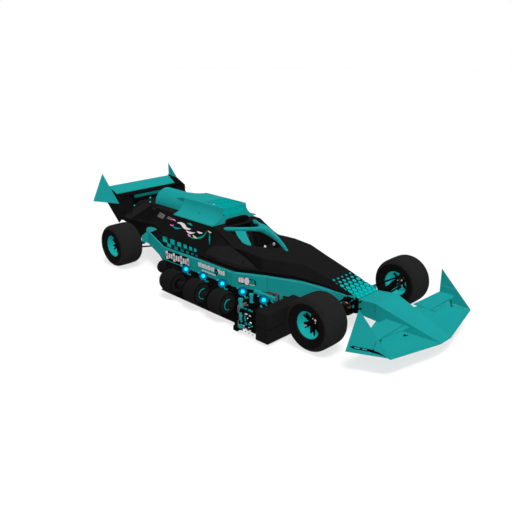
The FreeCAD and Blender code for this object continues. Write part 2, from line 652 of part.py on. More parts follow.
RACK_LEN = 395.0
RACK_X = BOX_REAR_X - RACK_LEN
RACK_OUT_Y = 1150.0
RACK_IN_Y = 1050.0
RACK_PLATE = 14.0
RACK_SHELVES = (55.0, 135.0, 316.0)
RACK_FOOT = (64.0, 50.0, 43.0)      # length, reach beyond the shelf, drop below it
VALVE_BLOCK = (110.0, 80.0, 53.0)
STANDPIPE_X = RACK_X + 133.0
STANDPIPE_Y = 1176.0
STANDPIPE_R = 20.0
SHORT_PIPE_X = RACK_X + 225.0
SHORT_PIPE_Y = 1100.0


def valve_rack():
    """Back plate, end plate and shelves behind the case, with a foot and a valve block."""
    x0, x1 = RACK_X, BOX_REAR_X
    low, high = RACK_SHELVES[0], RACK_SHELVES[-1] + RACK_PLATE
    back = box(x0, x1, -RACK_IN_Y - RACK_PLATE, -RACK_IN_Y, low, high)
    end = box(x0, x0 + RACK_PLATE, -RACK_OUT_Y, -RACK_IN_Y, low, high)
    shelves = [box(x0, x1, -RACK_OUT_Y, -RACK_IN_Y, z, z + RACK_PLATE) for z in RACK_SHELVES]
    length, reach, drop = RACK_FOOT
    foot = box(x0 + 22, x0 + 22 + length, -RACK_OUT_Y - 40, -RACK_OUT_Y + reach, low - drop, low + RACK_PLATE)
    length, width, height = VALVE_BLOCK
    x = SHORT_PIPE_X - 40
    valve = box(x, x + length, -RACK_IN_Y - width, -RACK_IN_Y, high, high + height)
    return joined(back, end, valve, foot, *shelves)


def rack_pipes():
    """Standpipe outside the shelves and a short one on the valve block, each with a collar."""
    z = RACK_SHELVES[-1] + RACK_PLATE
    tall = Part.makeCylinder(STANDPIPE_R, 374, V(STANDPIPE_X, -STANDPIPE_Y, z - 280))
    tall_cap = Part.makeCylinder(STANDPIPE_R + 7, 20, V(STANDPIPE_X, -STANDPIPE_Y, z + 74))
    foot = z + VALVE_BLOCK[2]
    short = Part.makeCylinder(STANDPIPE_R - 2, 104, V(SHORT_PIPE_X, -SHORT_PIPE_Y, foot))
    short_cap = Part.makeCylinder(STANDPIPE_R + 5, 18, V(SHORT_PIPE_X, -SHORT_PIPE_Y, foot + 86))
    return [joined(tall, tall_cap), joined(short, short_cap)]


CLAMP_W = 22.0
CLAMP_T = 9.0
CLAMP_DROP = 84.0


def rack_clamps():
    """Angled straps that lie on a shelf and hook down beside the standpipe."""
    pipe = Part.makeCylinder(STANDPIPE_R + CLEAR, 800, V(STANDPIPE_X, -STANDPIPE_Y, 0))
    x = STANDPIPE_X - STANDPIPE_R - CLAMP_W + 8
    out = []
    for shelf in RACK_SHELVES[1:]:
        z = shelf + RACK_PLATE
        arm = box(x, x + CLAMP_W, -STANDPIPE_Y - 16, -RACK_IN_Y - RACK_PLATE - 4, z, z + CLAMP_T)
        strap = box(x, x + CLAMP_W, -STANDPIPE_Y - 16, -STANDPIPE_Y - 16 + CLAMP_T, z + CLAMP_T - CLAMP_DROP, z + CLAMP_T)
        out.append(joined(arm, strap).cut(pipe))
    return out


LAMP_R = 31.0
LAMP_Y = 860.0
LAMP_Z = 328.0
CARRIER_R = 13.0
LAMPS = [AXLE_F - 2144, AXLE_F - 1802, AXLE_F - 1449, AXLE_F - 1093, AXLE_F - 746]
STRAIGHT = 2                # the lamp beside the second pylon has a straight carrier
LAMPS_LEFT = [TANK_REAR_X - 174, TANK_REAR_X + 286, TANK_REAR_X + 776]
FEED_R = 26.0               # pipe beside the band, behind the right front wheel
FEED_Y = 750.0
FEED_Z = 327.0
FEED_X = (AXLE_F - 995.0, AXLE_F - 680.0)


def lamp_at(x):
    return V(x, LAMP_Y, LAMP_Z)


def carrier(x, hooked):
    """Bent tube from under the side band out to a lamp."""
    start_x = x - 200 if hooked else x
    y, z = rail_at(start_x)
    points = [(start_x, y - RAIL_T + 1, z - CLEAR - CARRIER_R)]
    if hooked:
        points += [(x - 165, LAMP_Y - 10, LAMP_Z - 60), (x - 75, LAMP_Y, LAMP_Z - 73), (x - 8, LAMP_Y, LAMP_Z - 28)]
    else:
        points += [(x, LAMP_Y - 12, LAMP_Z - 18)]
    tubes = [bar(a, b, CARRIER_R) for a, b in zip(points, points[1:])]
    bends = [Part.makeSphere(CARRIER_R, V(*p)) for p in points[1:-1]]
    whole = joined(*tubes, *bends) if bends else tubes[0]
    return largest(whole.cut(Part.makeSphere(LAMP_R + CLEAR, lamp_at(x))).cut(side_rail()).cut(SHELL_FORM))


def feed_pipe():
    """Wide pipe beside the band."""
    return drum(FEED_R, *FEED_X, FEED_Y, FEED_Z)


def feed_pipe_arms():
    """Two square arms that hold the pipe, from the shell below the band."""
    pipe = feed_pipe()
    arms = [box(x - 12, x + 12, -12, 12, 0, 420) for x in (FEED_X[0] + 130, FEED_X[1] - 30)]
    for arm in arms:
        arm.rotate(V(0, 0, 0), V(1, 0, 0), 112)
        arm.translate(V(0, FEED_Y - 8, FEED_Z - 3))
    return [largest(arm.cut(pipe).cut(SHELL_FORM)) for arm in arms]


# ---- suspension, knuckles, wheels ---------------------------------------------------------------------
KING_IN = 46.0              # steering axis, in from the middle of the wheel
KING_R = 16.0
KING_H = 57.0               # half height of the kingpin
EYE_R = 20.0
EYE_H = 28.0
DRUM_R = 122.0              # carrier inside the rim
DRUM_IN = 21.0              # its inboard face, in from the middle of the wheel
DRUM_OUT = 36.0             # its outboard face, out from the middle of the wheel
LEG_R = 11.0
LEG_SPREAD = {AXLE_F: (115.0, -85.0), AXLE_R: (240.0, -240.0)}   # inner ends along the car, from the axle
SPIDER_Y = 62.0             # middle plane of the spokes, out from the middle of the wheel


def upright(x):
    """Kingpin, web and round carrier in the wheel, with the stub axle that the hub turns on."""
    y = WHEEL_Y
    z = TYRE_R
    pin = Part.makeCylinder(KING_R, 2 * KING_H, V(x, y - KING_IN, z - KING_H))
    web = box(x - 12, x + 12, y - KING_IN, y - DRUM_IN + 5, z - KING_H + 8, z + KING_H - 8)
    carrier = Part.makeCylinder(DRUM_R, DRUM_OUT + DRUM_IN, V(x, y - DRUM_IN, z), V(0, 1, 0))
    stub = Part.makeCylinder(STUB_R, SPIDER_Y + 30 - DRUM_OUT, V(x, y + DRUM_OUT, z), V(0, 1, 0))
    return joined(pin, web, carrier, stub)


def wishbones(x, inner_y, inner_low, inner_high):
    """Upper and lower A-arms of one wheel, from eyes above and below the kingpin to the body's side."""
    y = WHEEL_Y - KING_IN
    out = []
    for sign, inner_z in ((1, inner_high), (-1, inner_low)):
        z0 = TYRE_R + sign * (KING_H + CLEAR)
        eye = Part.makeCylinder(EYE_R, EYE_H, V(x, y, min(z0, z0 + sign * EYE_H)))
        mid = (x, y - EYE_R / 2, z0 + sign * EYE_H / 2)
        legs = [bar(mid, (x + dx, inner_y, inner_z), LEG_R) for dx in LEG_SPREAD[x]]
        out.append(largest(joined(eye, *legs).cut(SHELL_FORM).cut(nose_cone()).cut(side_rail())))
    return out


def tyre(x):
    half = TYRE_W / 2
    s = TYRE_SHOULDER
    k = s * (1 - math.sqrt(0.5))
    r0, r1 = RIM_R, TYRE_R
    p = [V(r0, -half, 0), V(r1 - s, -half, 0), V(r1, -half + s, 0), V(r1, half - s, 0), V(r1 - s, half, 0),
         V(r0, half, 0)]
    edges = [Part.makeLine(p[0], p[1]),
             Part.Arc(p[1], V(r1 - k, -half + k, 0), p[2]).toShape(),
             Part.makeLine(p[2], p[3]),
             Part.Arc(p[3], V(r1 - k, half - k, 0), p[4]).toShape(),
             Part.makeLine(p[4], p[5]), Part.makeLine(p[5], p[0])]
    solid = Part.Face(Part.Wire(edges)).revolve(V(0, 0, 0), V(0, 1, 0), 360)
    solid.translate(V(x, WHEEL_Y, TYRE_R))
    return solid


def rim(x):
    half = TYRE_W / 2 - RIM_SET_IN
    outer = Part.makeCylinder(RIM_R - CLEAR, 2 * half, V(x, WHEEL_Y - half, TYRE_R), V(0, 1, 0))
    inner = Part.makeCylinder(RIM_R - RIM_WALL, 2 * half, V(x, WHEEL_Y - half, TYRE_R), V(0, 1, 0))
    return outer.cut(inner)


def spider(x):
    """Hub with pointed spokes and a thin ring that seats in the rim's barrel."""
    y = WHEEL_Y + SPIDER_Y
    reach = RIM_R - RIM_WALL - CLEAR
    hub = Part.makeCylinder(HUB_R, 54, V(x, y - 20, TYRE_R), V(0, 1, 0))
    cone = Part.makeCone(HUB_R, 18, 18, V(x, y + 34, TYRE_R), V(0, 1, 0))
    arms = []
    for k in range(SPOKES):
        arm = prism([(a, y - SPOKE_T / 2, b) for a, b in ((0, 19), (reach - 4, 6), (reach - 4, -6), (0, -19))],
                    (0, SPOKE_T, 0))
        arm.rotate(V(0, 0, 0), V(0, 1, 0), 360.0 * k / SPOKES + 20)
        arm.translate(V(x, 0, TYRE_R))
        arms.append(arm)
    ring_out = Part.makeCylinder(reach, SPOKE_T, V(x, y - SPOKE_T / 2, TYRE_R), V(0, 1, 0))
    ring_in = Part.makeCylinder(reach - 7, SPOKE_T, V(x, y - SPOKE_T / 2, TYRE_R), V(0, 1, 0))
    bore = Part.makeCylinder(STUB_R + SPIN_CLEAR, 60, V(x, y - 30, TYRE_R), V(0, 1, 0))
    return joined(hub, cone, ring_out.cut(ring_in), *arms).cut(bore)


# ---- write the pieces ---------------------------------------------------------------------------------
os.makedirs("parts", exist_ok=True)


def save_pair(name, solid):
    save(name + "_left", solid)
    save(name + "_right", mirrored(solid))


def save_both(name, *solids):
    save(name, *solids, *[mirrored(solid) for solid in solids])


save("monocoque", monocoque())
save_pair("sidepod", sidepod())
save("tail_body", tail_body())
save("engine_block", engine_block())
save_pair("side_rail", side_rail())
save("floor", floor())
save("nose_cone", nose_cone())
save("front_wing", front_wing())
save_both("front_flaps", front_flap())
save_both("front_endplates", endplate(FRONT_PLATE_X, FRONT_PLATE_Y, FRONT_PLATE_Z))
save("halo", halo())
save("seat", seat())
save("headrest", headrest())
save("steering_wheel", steering_wheel())
save("engine_cover", engine_cover())
save("intake_grille", intake_grille())
save("rear_cowl", rear_cowl())
save("rear_wing", rear_wing())
save("rear_lower_wing", rear_lower_wing())
save("rear_light_bar", rear_light_bar())
save_both("rear_pillars", rear_pillar())
save_both("rear_endplates", endplate(REAR_PLATE_X, REAR_PLATE_Y, REAR_PLATE_Z))
save("side_tanks_left", side_tanks(TANKS_LEFT, TANK_Y_LEFT))
save("side_tanks_right", mirrored(side_tanks(TANKS, TANK_Y)))
save("tank_collars", *tank_collars(TANKS_LEFT, TANK_Y_LEFT), *[mirrored(r) for r in tank_collars(TANKS, TANK_Y)])
save("tank_pylons", *tank_pylons(TANKS_LEFT, TANK_Y_LEFT, PYLON_SWEEP_LEFT),
     *[mirrored(p) for p in tank_pylons(TANKS, TANK_Y, PYLON_SWEEP)])
save("side_box", side_box())
save("valve_rack", valve_rack())
save("rack_pipes", *rack_pipes())
save("rack_clamps", *rack_clamps())
save("lamp_carriers", *[carrier(x, False) for x in LAMPS_LEFT],
     *[mirrored(carrier(x, row != STRAIGHT)) for row, x in enumerate(LAMPS)])
save("feed_pipe", mirrored(feed_pipe()))
save("feed_pipe_arms", *[mirrored(arm) for arm in feed_pipe_arms()])
save("side_lamps", *[Part.makeSphere(LAMP_R, lamp_at(x)) for x in LAMPS_LEFT],
     *[mirrored(Part.makeSphere(LAMP_R, lamp_at(x))) for x in LAMPS])
save_both("front_wishbones", *wishbones(AXLE_F, 150, 280, 362))
save_both("rear_wishbones", *wishbones(AXLE_R, 400, 230, 390))
save_pair("front_knuckle", upright(AXLE_F))
save_both("rear_uprights", *[upright(AXLE_R)])
for end, x in (("front", AXLE_F), ("rear", AXLE_R)):
    save_pair(f"tyre_{end}", tyre(x))
    save_pair(f"rim_{end}", rim(x))
    save_pair(f"wheel_spider_{end}", spider(x))
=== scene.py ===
"""Looks for the open-wheel racing car: refined panels, wheels, lamps, fittings and procedural materials."""

import math

import bmesh
import bpy
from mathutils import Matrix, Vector
from mathutils.bvhtree import BVHTree


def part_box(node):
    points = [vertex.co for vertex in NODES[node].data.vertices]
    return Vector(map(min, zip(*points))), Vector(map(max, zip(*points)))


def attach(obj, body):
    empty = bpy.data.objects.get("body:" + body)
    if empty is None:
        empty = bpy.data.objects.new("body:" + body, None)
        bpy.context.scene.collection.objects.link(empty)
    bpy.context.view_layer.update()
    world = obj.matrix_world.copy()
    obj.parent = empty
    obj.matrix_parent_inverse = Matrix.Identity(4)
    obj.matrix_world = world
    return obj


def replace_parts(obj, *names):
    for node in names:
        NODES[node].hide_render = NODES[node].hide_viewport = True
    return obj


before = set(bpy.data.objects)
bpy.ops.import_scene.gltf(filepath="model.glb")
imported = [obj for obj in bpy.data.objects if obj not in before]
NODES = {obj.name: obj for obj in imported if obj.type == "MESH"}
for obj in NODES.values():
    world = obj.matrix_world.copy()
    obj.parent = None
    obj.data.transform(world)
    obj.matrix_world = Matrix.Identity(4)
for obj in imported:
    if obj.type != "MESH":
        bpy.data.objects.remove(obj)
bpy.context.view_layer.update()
RIGHT, LEFT = -1, 1
SIDES = {"right": RIGHT, "left": LEFT}
SIDE_NAME = {RIGHT: "right", LEFT: "left"}

# ---- materials ----------------------------------------------------------------------------------------


def linear(*srgb):
    """0-255 sRGB values as linear colour."""
    out = []
    for v in srgb:
        v /= 255
        out.append(v / 12.92 if v <= 0.04045 else ((v + 0.055) / 1.055) ** 2.4)
    return tuple(out)


def tint(colour, factor, lift=0.0):
    """A colour made lighter or darker, with a small lift, up to full level."""
    return tuple(min(1.0, c * factor + lift) for c in colour)


class Tree:
    """A few shorthands for building a node tree; a value is a number, a colour or another node's output."""

    def __init__(self, name):
        self.mat = bpy.data.materials.new(name)
        self.mat.use_nodes = True
        self.nodes, self.links = self.mat.node_tree.nodes, self.mat.node_tree.links
        self.nodes.clear()
        out = self.nodes.new("ShaderNodeOutputMaterial")
        self.bsdf = self.nodes.new("ShaderNodeBsdfPrincipled")
        self.links.new(self.bsdf.outputs[0], out.inputs[0])
        self.coord = self.nodes.new("ShaderNodeTexCoord").outputs["Object"]

    def feed(self, socket, value):
        if isinstance(value, tuple):
            socket.default_value = (*value, 1.0) if socket.type == "RGBA" else value
        elif isinstance(value, (int, float)):
            socket.default_value = value
        else:
            self.links.new(value, socket)

    def node(self, kind, inputs, **settings):
        node = self.nodes.new("ShaderNode" + kind)
        for key, value in settings.items():
            setattr(node, key, value)
        for key, value in inputs.items():
            self.feed(node.inputs[key], value)
        return node

    def noise(self, scale, detail=3.0, rough=0.5, stretch=None, seed=0.0):
        source = self.coord
        inputs = {"Scale": scale, "Detail": detail, "Roughness": rough}
        node = self.node("TexNoise", inputs)
        if stretch or seed:
            place = {0: source, "Location": (seed, seed * 1.7, -seed), "Scale": stretch or (1, 1, 1)}
            source = self.node("Mapping", place).outputs[0]
        self.feed(node.inputs["Vector"], source)
        return node.outputs["Fac"]

    def remap(self, value, low, high, a=0.3, b=0.7):
        inputs = {"Value": value, "From Min": a, "From Max": b, "To Min": low, "To Max": high}
        return self.node("MapRange", inputs).outputs["Result"]

    def math(self, kind, a, b):
        return self.node("Math", {0: a, 1: b}, operation=kind).outputs[0]

    def mix(self, factor, a, b):
        return self.node("Mix", {0: factor, 6: a, 7: b}, data_type="RGBA").outputs[2]

    def bump(self, height, strength, distance=0.001, after=None):
        inputs = {"Strength": strength, "Distance": distance, "Height": height}
        if after is not None:
            inputs["Normal"] = after
        return self.node("Bump", inputs).outputs[0]

    def set(self, **sockets):
        for key, value in sockets.items():
            self.feed(self.bsdf.inputs[key.replace("_", " ")], value)


def paint(name, srgb, rough, spec=0.002, metal=0.0, vary=0.10, depth=0.03, painted_top_light=None):
    """Paint or moulded surface: slow change of tone, fine scuffs and a grain in the normal; where asked,
    upward faces also get a lighter tone, which is painted light.
    """
    t = Tree(name)
    colour, scuff, grain = linear(*srgb), 0.25, 900.0
    slow = t.remap(t.noise(2.3, 4.0, seed=1.3), 0.0, 1.0)
    fine = t.noise(34.0, 6.0, 0.65, seed=4.1)
    streak = t.noise(11.0, 5.0, 0.6, stretch=(0.35, 2.2, 1.6), seed=7.7)
    base = t.mix(slow, tuple(c * (1 - vary) for c in colour), tint(colour, 1 + vary, 0.0004))
    base = t.mix(t.remap(streak, 0.0, vary, 0.5, 0.8), base, tint(colour, 1.14, 0.0002))
    # painted light: faces that point upwards are mixed towards a lighter colour, as if lit from above
    if painted_top_light:
        level = t.node("NewGeometry", {}).outputs["Normal"]
        upward = t.node("SeparateXYZ", {0: level}).outputs["Z"]
        lit_top_mask = t.math("MULTIPLY", t.remap(upward, 0.0, 1.0, 0.72, 0.98), t.remap(fine, 0.8, 1.0))
        base = t.mix(lit_top_mask, base, linear(*painted_top_light))
    t.set(Base_Color=base, Metallic=metal, Specular_IOR_Level=spec)
    t.set(Roughness=t.remap(fine, rough * (1 - scuff), min(1.0, rough * (1 + scuff))))
    t.set(Coat_Weight=0.0, Coat_Roughness=0.12)
    t.set(Normal=t.bump(t.noise(grain, 2.0), depth, 0.0006, t.bump(streak, depth * 0.6, 0.002)))
    return t.mat


teal = paint("paint_teal", (30, 158, 158), 0.6, vary=0.02, depth=0.02)
teal_dark = paint("paint_teal_deep", (6, 118, 116), 0.6, vary=0.05)
teal_line = paint("seam_teal", (14, 96, 96), 0.6, vary=0.08)
# lighter teal: painted highlight on the rail's top edge, the rail-end tabs and the endplate beads; also the
# cowl's trim bands
teal_highlight_and_trim = paint("teal_painted_highlight_and_trim", (52, 178, 176), 0.5, 0.01, vary=0.04)
teal_flat = paint("marking_teal", (2, 160, 158), 0.7, 0.001, vary=0.03, depth=0.02)
teal_hex = paint("tile_teal", (2, 188, 186), 0.7, 0.001, vary=0.02, depth=0.02)
rim_teal = paint("rim_enamel", (24, 170, 168), 0.45, 0.02, vary=0.05, depth=0.02)
fin_teal = paint("fin_teal", (40, 196, 194), 0.6, vary=0.04)
face_teal = paint("face_teal", (0, 184, 184), 0.7, 0.001, vary=0.03, depth=0.02)
# body black: its upward faces carry a painted lighter tone that stands for light falling on the tops
black = paint("body_black", (23, 23, 23), 0.7, 0.001, vary=0.08, depth=0.05, painted_top_light=(29, 29, 29))
black_side = paint("box_black", (29, 29, 29), 0.7, 0.001, vary=0.08, depth=0.06)
black_trim = paint("trim_black", (12, 11, 11), 0.7, 0.001, vary=0.2, depth=0.06)
# lighter and darker copies of the body black, used as painted light and painted shade on body facets
black_painted_lit = paint("body_black_painted_lit", (34, 33, 33), 0.7, 0.001, vary=0.05, depth=0.05)
black_painted_shade = paint("body_black_painted_shade", (17, 17, 17), 0.7, 0.001, vary=0.05, depth=0.05)
seam_black = paint("seam_black", (6, 5, 5), 0.8, 0.001, vary=0.2)
graphite = paint("casting_graphite", (34, 32, 31), 0.5, 0.01, vary=0.15, depth=0.12)
alloy = paint("brushed_alloy", (100, 96, 96), 0.5, 0.05, 0.15, vary=0.12, depth=0.1)
bright = paint("bright_steel", (208, 206, 205), 0.35, 0.3, 0.5, vary=0.06, depth=0.05)
copper = paint("warm_steel", (190, 140, 132), 0.35, 0.3, 0.5, vary=0.08, depth=0.05)
white_mark = paint("mark_white", (226, 220, 220), 0.6, 0.01, vary=0.05)
pink_mark = paint("mark_pink", (232, 150, 210), 0.6, 0.01, vary=0.06)
cream_mark = paint("mark_cream", (234, 220, 152), 0.6, 0.01, vary=0.06)
brown_block = paint("warm_grey", (80, 62, 58), 0.6, 0.02, vary=0.12, depth=0.08)


def rubber(name, srgb, spec):
    """Tyre rubber: dull, with a fine pebble, rolling scuffs round the tread and worn patches."""
    t = Tree(name)
    colour = linear(*srgb)
    pebble = t.noise(700.0, 2.0, seed=3.0)
    scuff = t.noise(26.0, 6.0, 0.7, stretch=(1.0, 3.5, 1.0), seed=5.5)
    tone = t.remap(scuff, 0.0, 1.0, 0.35, 0.75)
    base = t.mix(tone, tint(colour, 0.86), tint(colour, 1.16, 0.0004))
    t.set(Base_Color=base, Specular_IOR_Level=spec, Roughness=t.remap(scuff, 0.62, 0.9))
    t.set(Normal=t.bump(pebble, 0.2, 0.0006, t.bump(scuff, 0.08, 0.0015)))
    return t.mat


tyre_tread = rubber("tyre_tread", (38, 38, 38), 0.002)
tyre_wall = rubber("tyre_wall", (22, 21, 21), 0.001)


def woven(name, srgb, scale):
    """Woven covering: crossed threads in the normal, a soft sheen and worn patches."""
    t = Tree(name)
    colour = linear(*srgb)
    inputs = {"Scale": scale, "Distortion": 0.6, "Vector": t.coord}
    threads = [t.node("TexWave", inputs, bands_direction=axis).outputs["Fac"] for axis in "XYZ"]
    weave = t.math("MULTIPLY", t.math("ADD", threads[0], threads[1]), threads[2])
    worn = t.remap(t.noise(9.0, 5.0, 0.6), 0.0, 1.0)
    t.set(Base_Color=t.mix(worn, tint(colour, 0.8), tint(colour, 1.3, 0.001)))
    t.set(Roughness=0.85, Specular_IOR_Level=0.003, Sheen_Weight=0.01)
    t.set(Normal=t.bump(weave, 0.3, 0.0008))
    return t.mat


cloth = woven("cloth_black", (13, 12, 12), 420.0)
strap = woven("strap_grey", (58, 58, 60), 700.0)


def glow(name, centre_colour, edge_colour, strength, radius):
    """Glowing lamp glass, and the lamp's glow painted as emission on a reflector: the colour falls off from
    the piece's middle outwards.
    """
    t = Tree(name)
    distance = t.node("VectorMath", {0: t.coord}, operation="LENGTH").outputs["Value"]
    away = t.remap(distance, 0.0, 1.0, 0.25 * radius, radius)
    uneven = t.remap(t.noise(60.0, 2.0), 0.92, 1.0)
    t.set(Base_Color=(0.0, 0.004, 0.008), Roughness=0.35, Specular_IOR_Level=0.05)
    t.set(Emission_Color=t.mix(away, centre_colour, edge_colour))
    t.set(Emission_Strength=t.math("MULTIPLY", uneven, strength))
    return t.mat


lamp_glass = glow("lamp_cyan", (0.0, 1.0, 1.0), (0.0, 0.9, 1.0), 1.1, 0.08)
# painted glow: the reflector round each lamp gives off light, from cyan in the middle to near black at its
# rim
lamp_painted_glow_dish = glow("lamp_painted_glow", (0.0, 0.50, 1.0), (0.0, 0.001, 0.006), 0.8, 0.056)
small_lamp = glow("lamp_small", (0.0, 0.62, 0.8), (0.0, 0.16, 0.4), 0.9, 0.02)

# ---- mesh helpers -------------------------------------------------------------------------------------


def add(name, bm, mat, body="chassis", smooth=40.0, replaces=(), mats=None, origin=None):
    """Make a piece from a bmesh, shade it smooth up to an angle, and tie it to its body."""
    mesh = bpy.data.meshes.new(name)
    mats = mats or [mat]
    bmesh.ops.recalc_face_normals(bm, faces=bm.faces)
    if origin is not None:
        bmesh.ops.translate(bm, verts=bm.verts, vec=-Vector(origin))
    bm.to_mesh(mesh)
    bm.free()
    for m in mats:
        mesh.materials.append(m)
    obj = bpy.data.objects.new(name, mesh)
    if origin is not None:
        obj.location = origin
    bpy.context.scene.collection.objects.link(obj)
    if smooth:
        mesh.shade_smooth()
        mesh.set_sharp_from_angle(angle=math.radians(smooth))
    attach(obj, body)
    if replaces:
        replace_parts(obj, *replaces)
    return obj


def apply_modifiers(obj):
    """Bake the piece's modifiers into its mesh."""
    graph = bpy.context.evaluated_depsgraph_get()
    mesh = bpy.data.meshes.new_from_object(obj.evaluated_get(graph), depsgraph=graph)
    obj.modifiers.clear()
    obj.data = mesh


def refine(node, mat, width=0.0015, segments=2, sharp=9.0, body="chassis"):
    """A node's own shape with its hard edges eased, in place of the node."""
    bm = bmesh.new()
    bm.from_mesh(NODES[node].data)
    bmesh.ops.remove_doubles(bm, verts=bm.verts, dist=1e-5)
    bmesh.ops.dissolve_limit(bm, angle_limit=math.radians(0.6), verts=bm.verts, edges=bm.edges)
    obj = add(node + "_panel", bm, mat, body, smooth=0, replaces=(node,))
    if width:
        bevel = obj.modifiers.new("edges", "BEVEL")
        bevel.width = width
        bevel.segments = segments
        bevel.limit_method = "ANGLE"
        bevel.angle_limit = math.radians(20)
        bevel.use_clamp_overlap = True
        apply_modifiers(obj)
    obj.data.shade_smooth()
    obj.data.set_sharp_from_angle(angle=math.radians(sharp))
    return obj


def bridge(bm, one, two):
    """Quads between two like rings of vertices."""
    for k in range(len(one)):
        j = (k + 1) % len(one)
        bm.faces.new((one[k], one[j], two[j], two[k]))


def skin(loops, bm=None):
    """A closed solid through like loops of points, with both ends capped."""
    bm = bm or bmesh.new()
    rings = [[bm.verts.new(p) for p in loop] for loop in loops]
    for one, two in zip(rings, rings[1:]):
        bridge(bm, one, two)
    bm.faces.new(rings[0][::-1])
    bm.faces.new(rings[-1])
    return bm


def lathe(profile, centre, axis, segments=96, bm=None, closed=False, index=None):
    """Turn (radius, along) pairs about an axis; index gives each band's material."""
    bm = bm or bmesh.new()
    centre, axis = Vector(centre), Vector(axis).normalized()
    side = axis.orthogonal().normalized()
    up = axis.cross(side)
    rings = []
    for radius, along in profile:
        if radius < 1e-6:
            rings.append([bm.verts.new(centre + axis * along)])
            continue
        rings.append([bm.verts.new(centre + axis * along + (side * math.cos(a) + up * math.sin(a)) * radius)
                      for a in (2 * math.pi * k / segments for k in range(segments))])
    pairs = list(zip(rings, rings[1:])) + ([(rings[-1], rings[0])] if closed else [])
    for band, (one, two) in enumerate(pairs):
        for k in range(segments):
            j = (k + 1) % segments
            if len(one) == 1:
                face = bm.faces.new((one[0], two[k], two[j]))
            elif len(two) == 1:
                face = bm.faces.new((one[k], two[0], one[j]))
            else:
                face = bm.faces.new((one[k], two[k], two[j], one[j]))
            if index:
                face.material_index = index[band]
    return bm


def sweep(path, radii, bm=None, segments=20):
    """Closed bar of elliptical section along a path; radii are (sideways, upwards) pairs, or one for all."""
    path = [Vector(p) for p in path]
    if isinstance(radii, tuple):
        radii = [radii] * len(path)
    loops = []
    for k, (p, (rs, ru)) in enumerate(zip(path, radii)):
        along = (path[min(k + 1, len(path) - 1)] - path[max(k - 1, 0)]).normalized()
        side = along.cross(Vector((0, 0, 1)))
        side = side.normalized() if side.length > 0.05 else Vector((0, 1, 0))
        up = side.cross(along).normalized()
        loops.append([p + side * math.cos(a) * rs + up * math.sin(a) * ru
                      for a in (2 * math.pi * j / segments for j in range(segments))])
    return skin(loops, bm)


def block(low, high, bevel=0.002, bm=None):
    """A box with bevelled edges."""
    bm = bm or bmesh.new()
    low, high = Vector(low), Vector(high)
    made = bmesh.ops.create_cube(bm, size=1.0)["verts"]
    size = high - low
    for v in made:
        v.co = Vector(((v.co.x + 0.5) * size.x, (v.co.y + 0.5) * size.y, (v.co.z + 0.5) * size.z)) + low
    edges = list(dict.fromkeys(e for v in made for e in v.link_edges))
    bmesh.ops.bevel(bm, geom=edges, offset=min(bevel, min(size) * 0.3), segments=2, affect="EDGES")
    return bm


def bolt(bm, centre, axis, r=0.006, h=0.004):
    """Domed hexagon head."""
    axis = Vector(axis).normalized()
    side = axis.orthogonal().normalized()
    up = axis.cross(side)
    skin([[Vector(centre) + axis * along + (side * math.cos(a) + up * math.sin(a)) * radius
           for a in (math.pi * k / 3 for k in range(6))]
          for radius, along in ((r, 0.0), (r, h * 0.7), (r * 0.7, h))], bm)


def melt(obj, voxel, rounds):
    """Join overlapping forms into one skin and soften where they meet."""
    remesh = obj.modifiers.new("skin", "REMESH")
    remesh.mode = "VOXEL"
    remesh.voxel_size = voxel
    soft = obj.modifiers.new("soft", "SMOOTH")
    soft.factor, soft.iterations = 0.5, rounds
    apply_modifiers(obj)
    obj.data.shade_smooth()


# ---- outlines in a plane ------------------------------------------------------------------------------


def rect(x0, x1, z0, z1, skew=0.0):
    return [(x0, z0), (x1, z0 + skew), (x1, z1 + skew), (x0, z1)]


def disc(x, z, r, n=20):
    return [(x + r * math.cos(2 * math.pi * k / n), z + r * math.sin(2 * math.pi * k / n)) for k in range(n)]


def stadium(y0, y1, z0, z1, n=12):
    """Slot outline with round ends."""
    r, z = (z1 - z0) / 2, (z0 + z1) / 2
    right = [(y1 - r + r * math.cos(a), z + r * math.sin(a))
             for a in (math.pi * (k / n - 0.5) for k in range(n + 1))]
    left = [(y0 + r + r * math.cos(a), z + r * math.sin(a))
            for a in (math.pi * (k / n + 0.5) for k in range(n + 1))]
    return right + left


def ribbon(points, widths):
    """A brush-like band whose width changes along a path."""
    left, right = [], []
    for k, ((x, y), width) in enumerate(zip(points, widths)):
        ax, ay = points[max(0, k - 1)]
        bx, by = points[min(len(points) - 1, k + 1)]
        length = math.hypot(bx - ax, by - ay) or 1
        nx, ny = -(by - ay) / length * width / 2, (bx - ax) / length * width / 2
        left.append((x + nx, y + ny))
        right.append((x - nx, y - ny))
    return left + right[::-1]


def strip(points, width):
    """A band of constant width along a path."""
    return ribbon(points, [width] * len(points))


def curve(a, b, c, count=9):
    """Points on a quadratic curve."""
    out = []
    for k in range(count):
        t = k / (count - 1)
        out.append(tuple((1 - t) ** 2 * p + 2 * t * (1 - t) * q + t * t * r for p, q, r in zip(a, b, c)))
    return out


def arc3(a, b, c, count):
    """Points on the circle arc through three points of a plane."""
    (ax, ay), (bx, by), (cx, cy) = a, b, c
    d = 2 * (ax * (by - cy) + bx * (cy - ay) + cx * (ay - by))
    ux = ((ax * ax + ay * ay) * (by - cy) + (bx * bx + by * by) * (cy - ay)
          + (cx * cx + cy * cy) * (ay - by)) / d
    uy = ((ax * ax + ay * ay) * (cx - bx) + (bx * bx + by * by) * (ax - cx)
          + (cx * cx + cy * cy) * (bx - ax)) / d
    r = math.hypot(ax - ux, ay - uy)
    start, end = math.atan2(ay - uy, ax - ux), math.atan2(cy - uy, cx - ux)
    return [(ux + r * math.cos(start + (end - start) * k / (count - 1)),
             uy + r * math.sin(start + (end - start) * k / (count - 1))) for k in range(count)]


